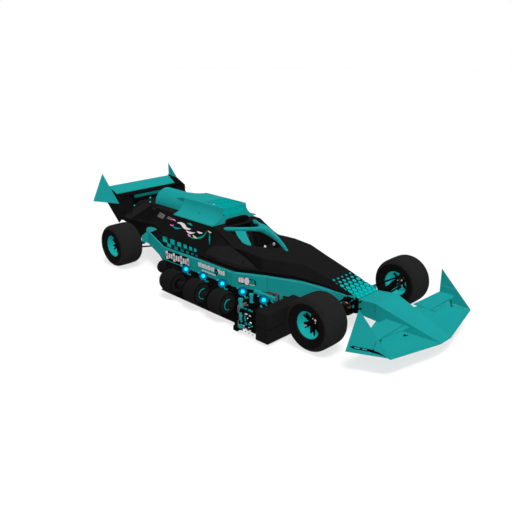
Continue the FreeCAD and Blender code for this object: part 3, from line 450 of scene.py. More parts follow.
def smooth_loop(points, per=4):
    """A closed smooth curve through the points."""
    out = []
    for k in range(len(points)):
        p0, p1, p2, p3 = (points[(k + j) % len(points)] for j in (-1, 0, 1, 2))
        for s in range(per):
            t = s / per
            out.append(tuple(0.5 * (2 * b + (c - a) * t + (2 * a - 5 * b + 4 * c - d) * t * t
                                    + (3 * b - a - 3 * c + d) * t ** 3)
                             for a, b, c, d in zip(p0, p1, p2, p3)))
    return out


# ---- places ---------------------------------------------------------------------------------------------


def middle(*nodes):
    corners = [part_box(n) for n in nodes]
    return sum((low + high for low, high in corners), Vector()) / (2 * len(corners))


FRONT, REAR = middle("tyre_front_left", "tyre_front_right"), middle("tyre_rear_left", "tyre_rear_right")
MID = Vector(((FRONT.x + REAR.x) / 2, FRONT.y, 0.0))


def car(x, y, z):
    """A place in millimetres from the ground under the middle of the wheelbase."""
    return MID + Vector((x, y, z)) / 1000


def span(node):
    """Lowest and highest corner of a node, in millimetres of the car."""
    return [(c - MID) * 1000 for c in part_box(node)]


def islands(node):
    """Boxes of a node's separate solids, in millimetres of the car, from rear to front."""
    bm = bmesh.new()
    bm.from_mesh(NODES[node].data)
    bmesh.ops.remove_doubles(bm, verts=bm.verts, dist=1e-5)
    seen, boxes = set(), []
    for start in bm.verts:
        if start.index in seen:
            continue
        seen.add(start.index)
        todo, group = [start], []
        while todo:
            v = todo.pop()
            group.append((v.co - MID) * 1000)
            for e in v.link_edges:
                w = e.other_vert(v)
                if w.index not in seen:
                    seen.add(w.index)
                    todo.append(w)
        boxes.append((Vector([min(p[i] for p in group) for i in range(3)]),
                      Vector([max(p[i] for p in group) for i in range(3)])))
    bm.free()
    return sorted(boxes, key=lambda b: (b[0].x, b[0].y))


TREES = {}


def cast(origin, direction, nodes):
    """First place where a ray meets the named nodes: point and normal."""
    best = None
    for node in nodes:
        if node not in TREES:
            data = NODES[node].data
            TREES[node] = BVHTree.FromPolygons([v.co.copy() for v in data.vertices],
                                               [tuple(p.vertices) for p in data.polygons])
        point, normal, _, distance = TREES[node].ray_cast(origin, direction)
        if point is not None and (best is None or distance < best[2]):
            best = (point, normal if normal.dot(direction) < 0 else -normal, distance)
    return best


WAYS = {"top": lambda a, b: (car(a, b, 1500), Vector((0, 0, -1))),
        "right": lambda a, b: (car(a, -1500, b), Vector((0, 1, 0))),
        "left": lambda a, b: (car(a, 1500, b), Vector((0, -1, 0))),
        "front": lambda a, b: (car(3200, a, b), Vector((-1, 0, 0)))}
SLANT_Y = 640           # distance from the middle of the plane that the slanting drawings are made on


def slant(side):
    """A drawing on an upright plane beside the car, thrown on to it inwards, rearwards and down."""
    way = Vector((-0.75, -0.58 * side, -0.32)).normalized()
    return lambda a, b: (car(a, SLANT_Y * side, b) - way * 4, way)


WAYS.update({f"slant_{name}": slant(side) for name, side in SIDES.items()})


def divide(outline, cell):
    """The outline as a flat mesh of triangles with edges up to about the cell's length."""
    flat = bmesh.new()
    flat.faces.new([flat.verts.new((a / 1000, b / 1000, 0)) for a, b in outline])
    bmesh.ops.triangulate(flat, faces=flat.faces)
    for _ in range(4):
        long = [e for e in flat.edges if e.calc_length() > cell]
        if not long:
            break
        bmesh.ops.subdivide_edges(flat, edges=long, cuts=1)
        bmesh.ops.triangulate(flat, faces=[f for f in flat.faces if len(f.verts) > 3])
    flat.verts.index_update()
    return flat


def decal(name, outlines, plane, nodes, mat, lift=0.0012, cell=0.05, jump=0.12, steep=None):
    """Thin raised shapes laid on the nodes, drawn in a side, top, front or slanting projection."""
    way, sunk = WAYS[plane], 0.0012
    bm = bmesh.new()
    for outline in outlines:
        flat = divide(outline, cell)
        hits = {v.index: cast(*way(v.co.x * 1000, v.co.y * 1000), nodes) for v in flat.verts}
        kept = []
        for f in flat.faces:
            found = [hits[v.index] for v in f.verts]
            if steep and any(h is None or abs(h[1].dot(way(0, 0)[1])) < steep for h in found):
                continue
            if all(found) and max(h[2] for h in found) - min(h[2] for h in found) < jump:
                kept.append(f)
        top, low = {}, {}
        for f in kept:
            for v in f.verts:
                if v.index not in top:
                    point, normal, _ = hits[v.index]
                    top[v.index] = bm.verts.new(point + normal * lift)
                    low[v.index] = bm.verts.new(point - normal * sunk)
        inside = set(kept)
        for f in kept:
            ids = [v.index for v in f.verts]
            bm.faces.new([top[i] for i in ids])
            bm.faces.new([low[i] for i in reversed(ids)])
            for e in f.edges:
                if sum(g in inside for g in e.link_faces) == 1:
                    i, j = (v.index for v in e.verts)
                    bm.faces.new((top[i], top[j], low[j], low[i]))
        flat.free()
    add(name, bm, mat, smooth=0)


def both(name, outlines, nodes, mat, plane="", **more):
    """The same shapes on the right and on the left; a star in a node's name stands for the side."""
    for side in SIDES:
        decal(f"{name}_{side}", outlines, plane + side, [n.replace("*", side) for n in nodes], mat, **more)


def ray_bolts(name, places, plane, nodes, mat, r):
    """Bolt heads where rays meet the nodes."""
    bm = bmesh.new()
    for a, b in places:
        hit = cast(*WAYS[plane](a, b), nodes)
        if hit:
            bolt(bm, hit[0] - hit[1] * 0.001, hit[1], r)
    add(name, bm, mat, smooth=30)


# ---- body panels --------------------------------------------------------------------------------------
PANELS = (
    (("monocoque", "sidepod_left", "sidepod_right", "tail_body"), black, {}),
    (("side_rail_left", "side_rail_right", "nose_cone", "front_wing", "front_flaps", "rear_wing"), teal,
     {"width": 0.001}),
    (("front_endplates", "rear_endplates"), teal, {"width": 0}),
    (("engine_cover", "rear_cowl"), teal, {"width": 0, "sharp": 14}),
    (("side_box",), black_side, {"width": 0.006, "segments": 3}),
    (("rear_lower_wing", "floor"), black_trim, {"width": 0.002}),
    (("rear_pillars",), black, {"width": 0.002, "sharp": 20}),
    (("valve_rack",), black_trim, {"width": 0.002, "sharp": 25}))
for nodes, mat, edges in PANELS:
    for node in nodes:
        refine(node, mat, **edges)

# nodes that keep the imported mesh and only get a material
PLAIN = ((graphite, ("engine_block", "front_knuckle_left", "front_knuckle_right", "rear_uprights")),
         (black_side, ("steering_wheel", "side_tanks_left", "side_tanks_right")),
         (black_trim, ("lamp_carriers", "feed_pipe_arms", "front_wishbones", "rear_wishbones",
                       "tank_collars")),
         (teal, ("rack_pipes", "feed_pipe")), (teal_flat, ("intake_grille",)),
         (teal_dark, ("rear_light_bar",)), (alloy, ("rack_clamps",)))
for mat, nodes in PLAIN:
    for node in nodes:
        NODES[node].data.materials.clear()
        NODES[node].data.materials.append(mat)


def recolour(obj, mat, chosen):
    """A second material on the faces whose middle, in millimetres of the car, is chosen."""
    obj.data.materials.append(mat)
    for face in obj.data.polygons:
        if chosen((face.center - MID) * 1000):
            face.material_index = 1


recolour(refine("tank_pylons", alloy, 0.002, sharp=25), black_trim, lambda p: abs(p.y) > 930 or p.z < 262)

# ---- halo ---------------------------------------------------------------------------------------------
HALO_LOW, HALO_HIGH = span("halo")
HEAD_X = HALO_LOW.x + 436                      # where the arms meet the centre bar
ARM_X, ARM_Y, ARM_Z = HALO_LOW.x + 14, 281, 757


def halo():
    """Centre bar and two arms melted into one frame, with a sickle-shaped fin under each arm."""
    top = arc3((HEAD_X - 8, HALO_HIGH.z + 6), (HEAD_X + 186, 812), (HEAD_X + 484, 592), 16)
    low = arc3((HEAD_X - 8, 752), (HEAD_X + 196, 716), (HEAD_X + 436, 592), 16)
    bar = [car((a + c) / 2, 0, (b + d) / 2) for (a, b), (c, d) in zip(top, low)]
    thick = [math.dist(p, q) / 2 for p, q in zip(top, low)]
    wide = [0.056 - 0.0045 * k if k < 6 else 0.029 - 0.0016 * (k - 6) for k in range(16)]
    bm = sweep(bar, [(w, t / 1000) for w, t in zip(wide, thick)])
    for side in SIDES.values():
        start, bend = Vector((ARM_X, side * ARM_Y, ARM_Z)), Vector((HEAD_X - 25, side * 60, 797))
        steps = [start.lerp(bend, k / 10) for k in range(11)]
        steps += [Vector((HEAD_X + 10, side * 42, 803)), Vector((HEAD_X + 50, side * 22, 806)),
                  Vector((HEAD_X + 100, side * 8, 800))]
        radii = [0.018] + [0.0265] * 8 + [0.028, 0.031, 0.036, 0.040, 0.036]
        sweep([car(*p) for p in steps], [(r, r * 0.98) for r in radii], bm)
    melt(add("halo_frame", bm, teal, smooth=0, replaces=("halo",)), 0.006, 8)
    slope = ARM_Y / (HEAD_X - HALO_LOW.x)
    fin = smooth_loop([(-290, 770), (-180, 785), (-170, 700), (-115, 555), (-190, 580), (-245, 640),
                       (-275, 700)], 4)
    for side, mat in ((RIGHT, fin_teal), (LEFT, black)):
        loops = [[car(HEAD_X + x, side * (slope * -x + out), z) for x, z in fin] for out in (-3.5, 3.5)]
        add(f"halo_fin_{SIDE_NAME[side]}", skin(loops), mat, smooth=35)


halo()

# ---- engine cover and cowl ----------------------------------------------------------------------------
COVER = ("engine_cover",)
REAR_X, FRONT_X, HALF = -662, -318, 172         # sunk top panel: rear, front and half width
decal("cover_panel", [rect(REAR_X, FRONT_X, -HALF, HALF)], "top", COVER, teal_flat)
decal("cover_panel_edges", [strip([(REAR_X - 8, -HALF), (REAR_X - 8, HALF + 6)], 7),
                            strip([(REAR_X - 8, HALF + 8), (FRONT_X, HALF + 8)], 8),
                            strip([(REAR_X - 60, -205), (REAR_X - 40, 205)], 4)], "top", COVER, teal_line)
decal("cover_panel_dots", [disc(-548 + 0.11 * (y + 155), y, 9, 8) for y in range(-95, 160, 60)], "top", COVER,
      seam_black, lift=0.003)
decal("cover_panel_stud", [disc(-553, -150, 10, 10)], "top", COVER, white_mark, lift=0.004)
both("cover_plug", [disc(-723, 873, 9, 10)], COVER, teal_line)


def intake_face():
    """Flat front of the intake with rows of small paired slots."""
    grille = ("intake_grille", "engine_cover")
    lowest, highest = span("intake_grille")
    low, high, wide = lowest.z + 2, highest.z + 6, highest.y + 14
    tall = high - low
    decal("grille_face", [stadium(-wide, wide - 26, low, high)], "front", grille, face_teal, cell=0.03,
          jump=0.03)
    slots = []
    for share, y0, y1, count in ((0.86, -150, 96, 9), (0.63, -166, 118, 10), (0.38, -166, 116, 10),
                                 (0.16, -142, 96, 9)):
        for k in range(count):
            y = y0 + (y1 - y0) * k / (count - 1)
            z = low + tall * share - (y + 150) * 0.014
            slots += [rect(y - 8, y - 1, z - 3, z + 3), rect(y + 2, y + 8, z - 2.5, z + 2.5)]
    decal("grille_slots", slots, "front", grille, teal_dark, lift=0.0022)
    vents = [rect(116, 142, low + tall * 0.80, low + tall * 0.92),
             rect(124, 152, low + tall * 0.52, low + tall * 0.66)]
    decal("grille_vents", vents, "front", grille, seam_black, lift=0.0026)
    decal("grille_vent_rear", [disc(-200, 914, 8, 8)], "front", grille, seam_black, lift=0.0026)


intake_face()

COWL_LOW, COWL_HIGH = span("rear_cowl")
COWL_R = 0.200
for tag, x in (("band", -1512), ("end_band", COWL_LOW.x + 6)):
    ring = [(COWL_R - 0.004, -0.003), (COWL_R + 0.001, -0.003), (COWL_R + 0.001, 0.003),
            (COWL_R - 0.004, 0.003)]
    add(f"cowl_{tag}", lathe(ring, car(x, 0, COWL_HIGH.z - 210), (1, 0, 0), closed=True), teal_highlight_and_trim,
        smooth=30)

# ---- side markings ------------------------------------------------------------------------------------
FLANK = ("side_rail_*",)
both("rail_seam", [strip([(-378, 300), (-372, 470)], 5), strip([(306, 240), (312, 470)], 5),
                   strip([(830, 240), (832, 470)], 4)], FLANK, teal_line)
both("rail_tabs", [rect(-392, -384, 300, 318), rect(292, 300, 244, 262), rect(838, 846, 244, 262)], FLANK,
     seam_black)


def rail_span(x):
    """Lower and upper edge of the rail's outer face at a station."""
    found = [z for z in range(200, 500, 4) if cast(*WAYS["right"](x, z), ("side_rail_right",))]
    return (min(found), max(found))


def on_rail(x0, x1, low, high, cut=0.0):
    """A slab on the rail between two stations, from one share of its height to another."""
    a, b = rail_span(x0), rail_span(x1)
    c = (x1 - x0) * cut
    corners = ((x0 + c, a, low), (x1, b, low + cut * 0.3), (x1 - c, b, high), (x0, a, high - cut * 0.3))
    return [(x, edge[0] + (edge[1] - edge[0]) * share) for x, edge, share in corners]


def markings():
    """Generic chains of bars and lozenges in place of lettering."""
    white, dark = [], []
    x = -915.0
    for w in (66, 38, 38, 58, 38, 38, 58, 38, 38, 46):
        wide = w > 40
        tall = (0.14, 0.84) if wide else (0.26, 0.72)
        white.append(on_rail(x, x + w, *tall, cut=0.2))
        if wide:
            dark.append(on_rail(x + w * 0.3, x + w * 0.7, 0.36, 0.62, cut=0.2))
        x += w + 6
    back = [on_rail(-928 + 105 * k, -928 + 105 * k + 104, 0.08, 0.86) for k in range(5)]
    both("rail_badge_rear_back", back, FLANK, seam_black, cell=0.03)
    both("rail_badge_rear", white, FLANK, white_mark, lift=0.0026, cell=0.03)
    both("rail_badge_rear_gaps", dark, FLANK, seam_black, lift=0.0036, cell=0.03)
    bars = []
    x = -222.0
    for k, w in enumerate((34, 22, 40, 26, 30, 44, 24, 34, 46, 46, 38, 30)):
        if k != 8:
            bars.append(on_rail(x, x + w, 0.52, 0.84 if k % 2 else 0.80))
        x += w + 8
    small = [on_rail(-150 + 30 * k, -130 + 30 * k, 0.26, 0.38) for k in range(9)]
    both("rail_badge_middle", bars + small, FLANK, white_mark, lift=0.0016, cell=0.03)
    hub = sum(rail_span(126)) / 2 + 14
    both("rail_badge_middle_disc", [disc(126, hub, 36, 22)], FLANK, seam_black, lift=0.0024)
    both("rail_badge_middle_ring", [disc(126, hub, 15, 14)], FLANK, teal_flat, lift=0.0034)
    mid = sum(rail_span(590)) / 2
    plate = smooth_loop([(x, mid + (z - 376) * 0.95) for x, z in
                         ((484, 352), (500, 336), (566, 330), (592, 312), (618, 330), (684, 328), (698, 346),
                          (694, 404), (622, 416), (590, 442), (560, 420), (496, 418))], 3)
    both("rail_badge_front_back", [plate], FLANK, seam_black, cell=0.03)
    lozenge = smooth_loop([(566, mid - 24), (592, mid - 50), (618, mid - 24), (618, mid + 26),
                           (592, mid + 52), (564, mid + 26)], 3)
    both("rail_badge_front", [rect(494, 512, mid - 24, mid + 28), rect(517, 556, mid - 26, mid + 30), lozenge,
                              rect(500, 554, mid + 33, mid + 40), rect(624, 688, mid - 42, mid - 34)], FLANK,
         white_mark, lift=0.0026)
    both("rail_badge_front_blocks", [rect(626, 640, mid - 28, mid + 24), rect(645, 660, mid - 28, mid + 24),
                                     rect(665, 682, mid - 28, mid + 24)], FLANK, teal_flat, lift=0.0026)


markings()

POD = ("sidepod_*", "tail_body", "monocoque")
POD_LOW, POD_HIGH = span("sidepod_right")
TAIL_LOW = span("tail_body")[0]


def mosaic(x, z, width, squash, pitch):
    """A row of blocks that shrink towards the front."""
    row = []
    for _ in range(6):
        half, tall = width / 2, width * squash / 2
        row.append(rect(x - half, x + half, z - tall, z + tall))
        x += width * pitch
        width *= 0.87
    return row


def flank():
    """Blocks low on the flank, and flat facets of the body painted lighter and darker than the black, as
    painted light and painted shade.
    """
    rear, front = POD_LOW.x, POD_HIGH.x
    rows = mosaic(rear + 120, 515, 100, 0.8, 1.7) + mosaic(rear + 210, 445, 80, 0.57, 1.9)
    both("pod_blocks", rows, POD, teal_flat, "slant_", lift=0.003, cell=0.02, jump=0.2)
    both("pod_block_rule", [strip([(rear + 170, 475), (rear + 765, 490)], 7)], POD, teal_line, "slant_",
         lift=0.002, cell=0.03, jump=0.2)
    nodes = (*POD, "rear_pillars")
    rear = TAIL_LOW.x
    # painted light and shade: ramp and flank facets get the lighter black, step and shoulder facets the
    # darker black
    facets = {"ramp": (black_painted_lit, [(rear + 150, 630), (rear + 720, 990), (rear + 890, 990),
                                    (rear + 390, 650)]),
              "step": (black_painted_shade, [(rear + 390, 650), (rear + 890, 990), (rear + 1000, 960),
                                   (rear + 1060, 890), (rear + 780, 650)]),
              "shoulder": (black_painted_shade, [(front - 350, 750), (front + 150, 720), (front + 200, 700),
                                       (front + 200, 570), (front + 150, 560)]),
              "flank": (black_painted_lit, [(front - 720, 660), (front - 360, 740), (front + 130, 560),
                                     (front - 230, 520), (front - 880, 520)])}
    for tag, (shade, outline) in facets.items():
        both(f"facet_{tag}", [outline], nodes, shade, "slant_", lift=0.0006, cell=0.06, jump=0.2)
    hatch = [(rear + 930, 950), (rear + 1000, 970), (rear + 1010, 930), (rear + 920, 920)]
    both("tail_hatch", [hatch], nodes, graphite, "slant_", lift=0.002, jump=0.2)


flank()


def stroke(widths, *legs):
    """A brush stroke along curved legs, with its width at the start, the middle and the end."""
    start, middle_width, end = widths
    path = []
    for leg in legs:
        path += curve(*leg, 8)[(1 if path else 0):]
    band = []
    for k in range(len(path)):
        t = 2 * k / (len(path) - 1)
        if k < len(path) / 2:
            band.append(start + (middle_width - start) * min(1, t))
        else:
            band.append(middle_width + (end - middle_width) * (t - 1))
    return ribbon(path, band)


def artwork():
    """Own loose design of brush strokes on the flank behind the seat."""
    strokes = {"white": (white_mark, (stroke((8, 40, 10), ((-1010, 712), (-930, 728), (-850, 700)),
                                             ((-850, 700), (-780, 672), (-700, 690))),
                                      stroke((6, 26, 6), ((-760, 660), (-660, 640), (-590, 668))),
                                      stroke((5, 20, 5), ((-560, 690), (-500, 676), (-450, 690))))),
               "aqua": (teal_flat, (stroke((6, 18, 5), ((-1060, 660), (-960, 640), (-880, 668))),
                                    stroke((4, 20, 5), ((-820, 736), (-760, 748), (-700, 726))),
                                    stroke((6, 22, 5), ((-640, 612), (-520, 600), (-420, 650)),
                                           ((-420, 650), (-380, 690), (-400, 720))),
                                    stroke((5, 20, 4), ((-330, 706), (-270, 660), (-215, 606))))),
               "pink": (pink_mark, (stroke((4, 14, 4), ((-1150, 726), (-1110, 738), (-1060, 722))),
                                    stroke((4, 12, 4), ((-1130, 668), (-1090, 660), (-1050, 674))),
                                    stroke((5, 20, 5), ((-700, 636), (-660, 616), (-630, 620))))),
               "cream": (cream_mark, (stroke((5, 18, 5), ((-600, 640), (-540, 616), (-480, 622))),
                                      stroke((4, 14, 4), ((-380, 730), (-340, 716), (-300, 722)))))}
    for tag, (mat, shapes) in strokes.items():
        both(f"flank_strokes_{tag}", shapes, POD, mat, lift=0.003, cell=0.03)


artwork()
TAIL = ("tail_body",)
both("flank_hatch", [rect(-1480, -1330, 712, 760, -10), rect(-1262, -1152, 722, 748, -6)], TAIL, alloy)
both("flank_hatch_slots", [rect(-1450, -1440, 722, 750), rect(-1400, -1390, 720, 746),
                           rect(-1210, -1202, 726, 742)], TAIL, black_trim, lift=0.002)


def hexagons():
    """Rows of six-sided tiles on the deck that grow towards the nose."""
    tiles, across, along, edge, limit = [], 77.0, 60.0, 205, 1904
    for row, r in enumerate((14, 21, 27, 31, 34, 36, 38)):
        x = 1535 + along * row
        for k in range(-4, 5):
            y = -8 + across * (k + (0.5 if row % 2 else 0.0))
            if abs(y) <= edge:
                tiles.append([(min(a, limit), b) for a, b in disc(x, y, r, 6)])
    decal("deck_hexagons", tiles, "top", ("monocoque",), teal_hex, lift=0.002, cell=0.02, steep=0.72)


hexagons()

# ---- lamps --------------------------------------------------------------------------------------------


def lamp(tag, low, high, side, backs):
    """Glowing ball in a shallow reflector that faces outwards and has the lamp's glow painted on it as
    emission, on a stalk, with a pilot lamp and a hook.
    """
    centre = (low + high) / 2

    def at(x, out, z):
        return car(*(centre + Vector((x, side * out, z))))

    middle_of = at(0, 0, 0)
    r = (high.x - low.x) / 2 * 0.74 / 1000
    ball = [(0.0, -r * 0.98), (r * 0.45, -r * 0.87), (r * 0.8, -r * 0.56), (r * 0.97, -r * 0.1),
            (r * 0.93, r * 0.34), (r * 0.66, r * 0.74), (r * 0.3, r * 0.94), (0.0, r * 0.98)]
    add(f"lamp_{tag}_bulb", lathe(ball, middle_of, (0, side, 0), 32), lamp_glass, smooth=80, origin=middle_of)
    facing = Vector((0.62, side * 0.62, 0.45)).normalized()
    # the reflector carries a painted glow as emission
    dish = [(0.004, -0.022), (0.028, -0.020), (0.046, -0.012), (0.055, -0.002), (0.052, 0.002),
            (0.048, -0.003), (0.044, -0.007), (0.036, -0.011), (0.027, -0.014), (0.018, -0.0155),
            (0.004, -0.016)]
    add(f"lamp_{tag}_dish", lathe(dish, middle_of, facing, 40, closed=True), lamp_painted_glow_dish, smooth=60,
        origin=middle_of)
    stalk = [at(-12, -14, -4), at(-20, -24, -6), at(-40, -44, 16)]
    add(f"lamp_{tag}_stalk", sweep(stalk, (0.008, 0.008), segments=10), black_trim, smooth=50)
    pilot, pilot_place = [(0.0, -0.012), (0.008, -0.010), (0.012, -0.002), (0.011, 0.006), (0.006, 0.011),
                          (0.0, 0.012)], at(-87, 0, 22)
    add(f"lamp_{tag}_pilot", lathe(pilot, pilot_place, facing, 20), small_lamp, smooth=70, origin=pilot_place)
    hook = [at(34, 4, -36), at(44, 6, -52), at(64, 4, -58), at(88, 0, -50)]
    add(f"lamp_{tag}_hook", sweep(hook, (0.0075, 0.009), segments=10), teal_flat, smooth=50)
    sweep([at(-6, 4, 0), at(-14, -10, -2)], [(0.012, 0.012), (0.016, 0.016)], backs, 12)


lamp_backs = bmesh.new()
for number, (low, high) in enumerate(islands("side_lamps")):
    lamp(number + 1, low, high, RIGHT if low.y < 0 else LEFT, lamp_backs)
add("lamp_backs", lamp_backs, lamp_glass, smooth=50, replaces=("side_lamps",))

# ---- gas drums and their collars ----------------------------------------------------------------------
DRUM_STUB, DRUM_PITCH, DRUM_LEN = 50, 456, 232


def drums(name, count):
    """A raised rim and a ring of studs on both faces of each drum."""
    low, high = span(f"side_tanks_{name}")
    r, y, z = (high.y - low.y) / 2 / 1000, (low.y + high.y) / 2, (low.z + high.z) / 2
    rim = [(r * 0.80, -0.002), (r * 0.80, 0.001), (r * 0.84, 0.0022), (r * 0.89, 0.0016), (r * 0.90, -0.002)]
    rims, studs = bmesh.new(), bmesh.new()
    for k in range(count):
        start = low.x + DRUM_STUB + DRUM_PITCH * k
        for x, out in ((start, -1), (start + DRUM_LEN, 1)):
            face = car(x, y, z)
            lathe(rim, face, (out, 0, 0), 72, rims, closed=True)
            for n in range(10):
                a = math.radians(36 * n + 9)
                bolt(studs, face + Vector((0, math.cos(a), math.sin(a))) * r * 0.70, (out, 0, 0), 0.006,
                     0.003)
    add(f"drum_rims_{name}", rims, black_trim, smooth=30)
    add(f"drum_studs_{name}", studs, graphite, smooth=30)


drums("right", 3)
drums("left", 2)
for number, (low, high) in enumerate(islands("tank_collars")):
    centre, r = (low + high) / 2, (high.z - low.z) / 2
    side = RIGHT if centre.y < 0 else LEFT
    if high.x - low.x > 400 or high.x < 100:
        continue
    path = [car(high.x - 3, centre.y - side * r * 0.97 * math.cos(a), centre.z + r * 0.97 * math.sin(a))
            for a in (math.radians(d) for d in range(70, 271, 10))]
    add(f"collar_{number + 1}_trim", sweep(path, (0.0055, 0.0055), segments=10), teal_flat, smooth=50)

# ---- valve rack fittings ------------------------------------------------------------------------------


def sleeve(bm, x, y, z0, z1, r):
    """Upright ring round a pipe; heights in millimetres, radius in metres."""
    lathe([(r - 0.003, z0 / 1000), (r, z0 / 1000), (r, z1 / 1000), (r - 0.003, z1 / 1000)], car(x, y, 0),
          (0, 0, 1), 24, bm, closed=True)


def rack():
    """Sleeves, bent tubes, teal fittings, bright caps and bolts on the rack's outer side."""
    low, high = span("valve_rack")
    pipe_low = span("rack_pipes")[0]
    length, face = high.x - low.x, low.y + 38
    px, py = pipe_low.x + 27, pipe_low.y + 27
    dark = bmesh.new()
    for z0, z1 in ((128, 172), (268, 318), (56, 72)):
        sleeve(dark, px, py, z0, z1, 0.0225)
    add("rack_pipe_sleeves", dark, black_trim, smooth=40)

    tubes = bmesh.new()
    paths = [((88, 60, z + 40), (26, 10, z + 26), (4, -22, z + 10), (4, -24, z - 36)) for z in (322, 214)]
    paths.append(((120, 96, 388), (76, 66, 376), (70, 60, 356), (70, 60, 330)))
    for path in paths:
        sweep([car(px + x, py + y, z) for x, y, z in path], (0.0055, 0.0055), tubes, 10)
    add("rack_bent_tubes", tubes, alloy, smooth=50)

    bits, caps, dark = bmesh.new(), bmesh.new(), bmesh.new()
    for share, z, w in ((0.45, 336, 16), (0.57, 334, 14), (0.71, 336, 15), (0.80, 334, 12), (0.39, 160, 15),
                        (0.71, 166, 14), (0.80, 152, 12), (0.30, 100, 12), (0.50, 96, 13)):
        x = low.x + length * share
        sweep([car(x - w, face - 34, z - 4), car(x, face - 40, z + 2), car(x + w, face - 34, z + 6)],
              (0.007, 0.009), bits, 10)
    sweep([car(1127, face - 38, 250), car(1118, face - 40, 230), car(1122, face - 40, 208),
           car(1134, face - 38, 190)], (0.008, 0.008), bits, 10)
    for x, z, r in ((1134, 158, 15), (1066, 236, 12)):
        angles = (math.radians(30 * k) for k in range(13))
        ring = [car(x + r * math.cos(a), face - 38, z + r * math.sin(a)) for a in angles]
        sweep(ring, (0.004, 0.004), bits, 8)
    add("rack_teal_fittings", bits, teal_flat, smooth=50)
    for x, z, w in ((1135, 275, 17), (1197, 272, 14), (1208, 194, 15), (1134, 92, 16), (1197, 94, 15),
                    (1160, 232, 8), (1180, 128, 8), (1098, 122, 9)):
        block(car(x - w, face - 42, z - 6), car(x + w, face - 30, z + 6), 0.003, caps)
    add("rack_bright_caps", caps, bright, smooth=30)
    for k in range(6):
        for z in (60, 140, 322):
            bolt(dark, car(low.x + 60 + (length - 120) * k / 5, low.y + 2, z), (0, -1, 0), 0.008, 0.005)
    for k in range(4):
        sleeve(dark, 1070 + 52 * k, face - 20, 140, 316, 0.012)
        sleeve(dark, 1090 + 52 * k, face + 10, 60, 136, 0.014)
    add("rack_dark_fittings", dark, black_trim, smooth=40)


rack()


def under_rail():
    """Brackets, clips and taps that hang between the right rail and the rack."""
    taps, grey, brown = bmesh.new(), bmesh.new(), bmesh.new()
    for bm, x0, x1, y0, y1, z0, z1, edge in (
            (grey, 1141, 1189, -742, -730, 283, 408, 0.002), (grey, 1236, 1244, -742, -730, 330, 402, 0.002),
            (brown, 1015, 1092, -748, -706, 340, 372, 0.004), (taps, 1158, 1184, -744, -728, 334, 362, 0.003),
            (taps, 1216, 1228, -744, -728, 330, 396, 0.003), (taps, 1250, 1262, -744, -728, 350, 400, 0.003)):
        block(car(x0, y0, z0), car(x1, y1, z1), edge, bm)
    for path in (((1188, 845, 350), (1214, 856, 342), (1244, 862, 336)),
                 ((1046, 868, 250), (1066, 876, 236), (1092, 880, 224)),
                 ((700, 800, 320), (736, 838, 296), (792, 862, 262))):
        sweep([car(x, RIGHT * y, z) for x, y, z in path], (0.010, 0.010), taps, 10)
    add("rail_taps", taps, teal_flat, smooth=40)
    add("rail_brackets", grey, alloy, smooth=30)
    add("rail_terminal", brown, brown_block, smooth=30)


under_rail()


def box_trim():
    """Seam round the case and a screw near each corner of its outer face."""
    low, high = span("side_box")
    seam = (low.z + high.z) / 2 - 8
    decal("box_seam_right", [strip([(low.x + 8, seam), (high.x - 8, seam)], 4)], "right", ("side_box",),
          seam_black)
    decal("box_seam_front", [strip([(low.y + 8, seam), (low.y + 428, seam)], 4)], "front", ("side_box",),
          seam_black)
    bm = bmesh.new()
    for x in (low.x + 20, high.x - 20):
        for z in (low.z + 20, high.z - 24):
            bolt(bm, car(x, low.y + 0.5, z), (0, -1, 0), 0.005, 0.0008)
    add("box_screws", bm, black_trim, smooth=30)


box_trim()

# ---- wheels -------------------------------------------------------------------------------------------
RIM_R = 0.156


def ray(degrees):
    """Unit vector in the plane of a wheel."""
    a = math.radians(degrees)
    return Vector((math.cos(a), 0, math.sin(a)))


def blade(bm, hub, degrees, near, far, axis, depths):
    """Flat tapering spoke; near and far are (radius, half width) pairs."""
    out, cross = ray(degrees), ray(degrees + 90)
    (r0, w0), (r1, w1) = near, far
    corners = (hub + out * r0 + cross * w0, hub + out * r1 + cross * w1, hub + out * r1 - cross * w1,
               hub + out * r0 - cross * w0)
    skin([[c + axis * d for c in corners] for d in depths], bm)


def tyre(tag, centre, axis, half, radius):
    """Moulded walls with a bead and a shoulder groove, round corners and a slightly crowned tread."""
    wall = [(RIM_R, half * 0.72), (RIM_R + 0.001, half - 0.022), (RIM_R + 0.006, half - 0.012),
            (RIM_R + 0.014, half - 0.009), (RIM_R + 0.030, half - 0.013), (RIM_R + 0.044, half - 0.011),
            (RIM_R + 0.047, half - 0.004), (RIM_R + 0.056, half - 0.0012), (RIM_R + 0.074, half - 0.0002)]
    drop, flat = 0.066, 0.070
    corner = [(radius - 0.002 - drop + drop * math.sin(a), half - flat + flat * math.cos(a))
              for a in (math.radians(90 * k / 16) for k in range(17))]
    corner = [(r, a + 0.0015 * math.sin(math.pi * (r - RIM_R) / (radius - RIM_R))) for r, a in corner
              if r > RIM_R + 0.076]
    crown = [(radius - 0.0015 * (1 - k / 3), half - flat - 0.028 * k) for k in range(1, 4)]
    outer = wall + corner + crown
    profile = outer + [(radius, 0.0)] + [(r, -a) for r, a in reversed(outer)]
    edge = len(wall)
    bands = [0 if (k < edge + 2 or k > len(profile) - edge - 5) else 1 for k in range(len(profile))]
    bm = lathe(profile, centre, axis, 128, closed=True, index=bands)
    add(f"tyre_{tag}_moulded", bm, None, f"wheel_{tag}", 50, (f"tyre_{tag}",),
        [tyre_wall, tyre_tread])


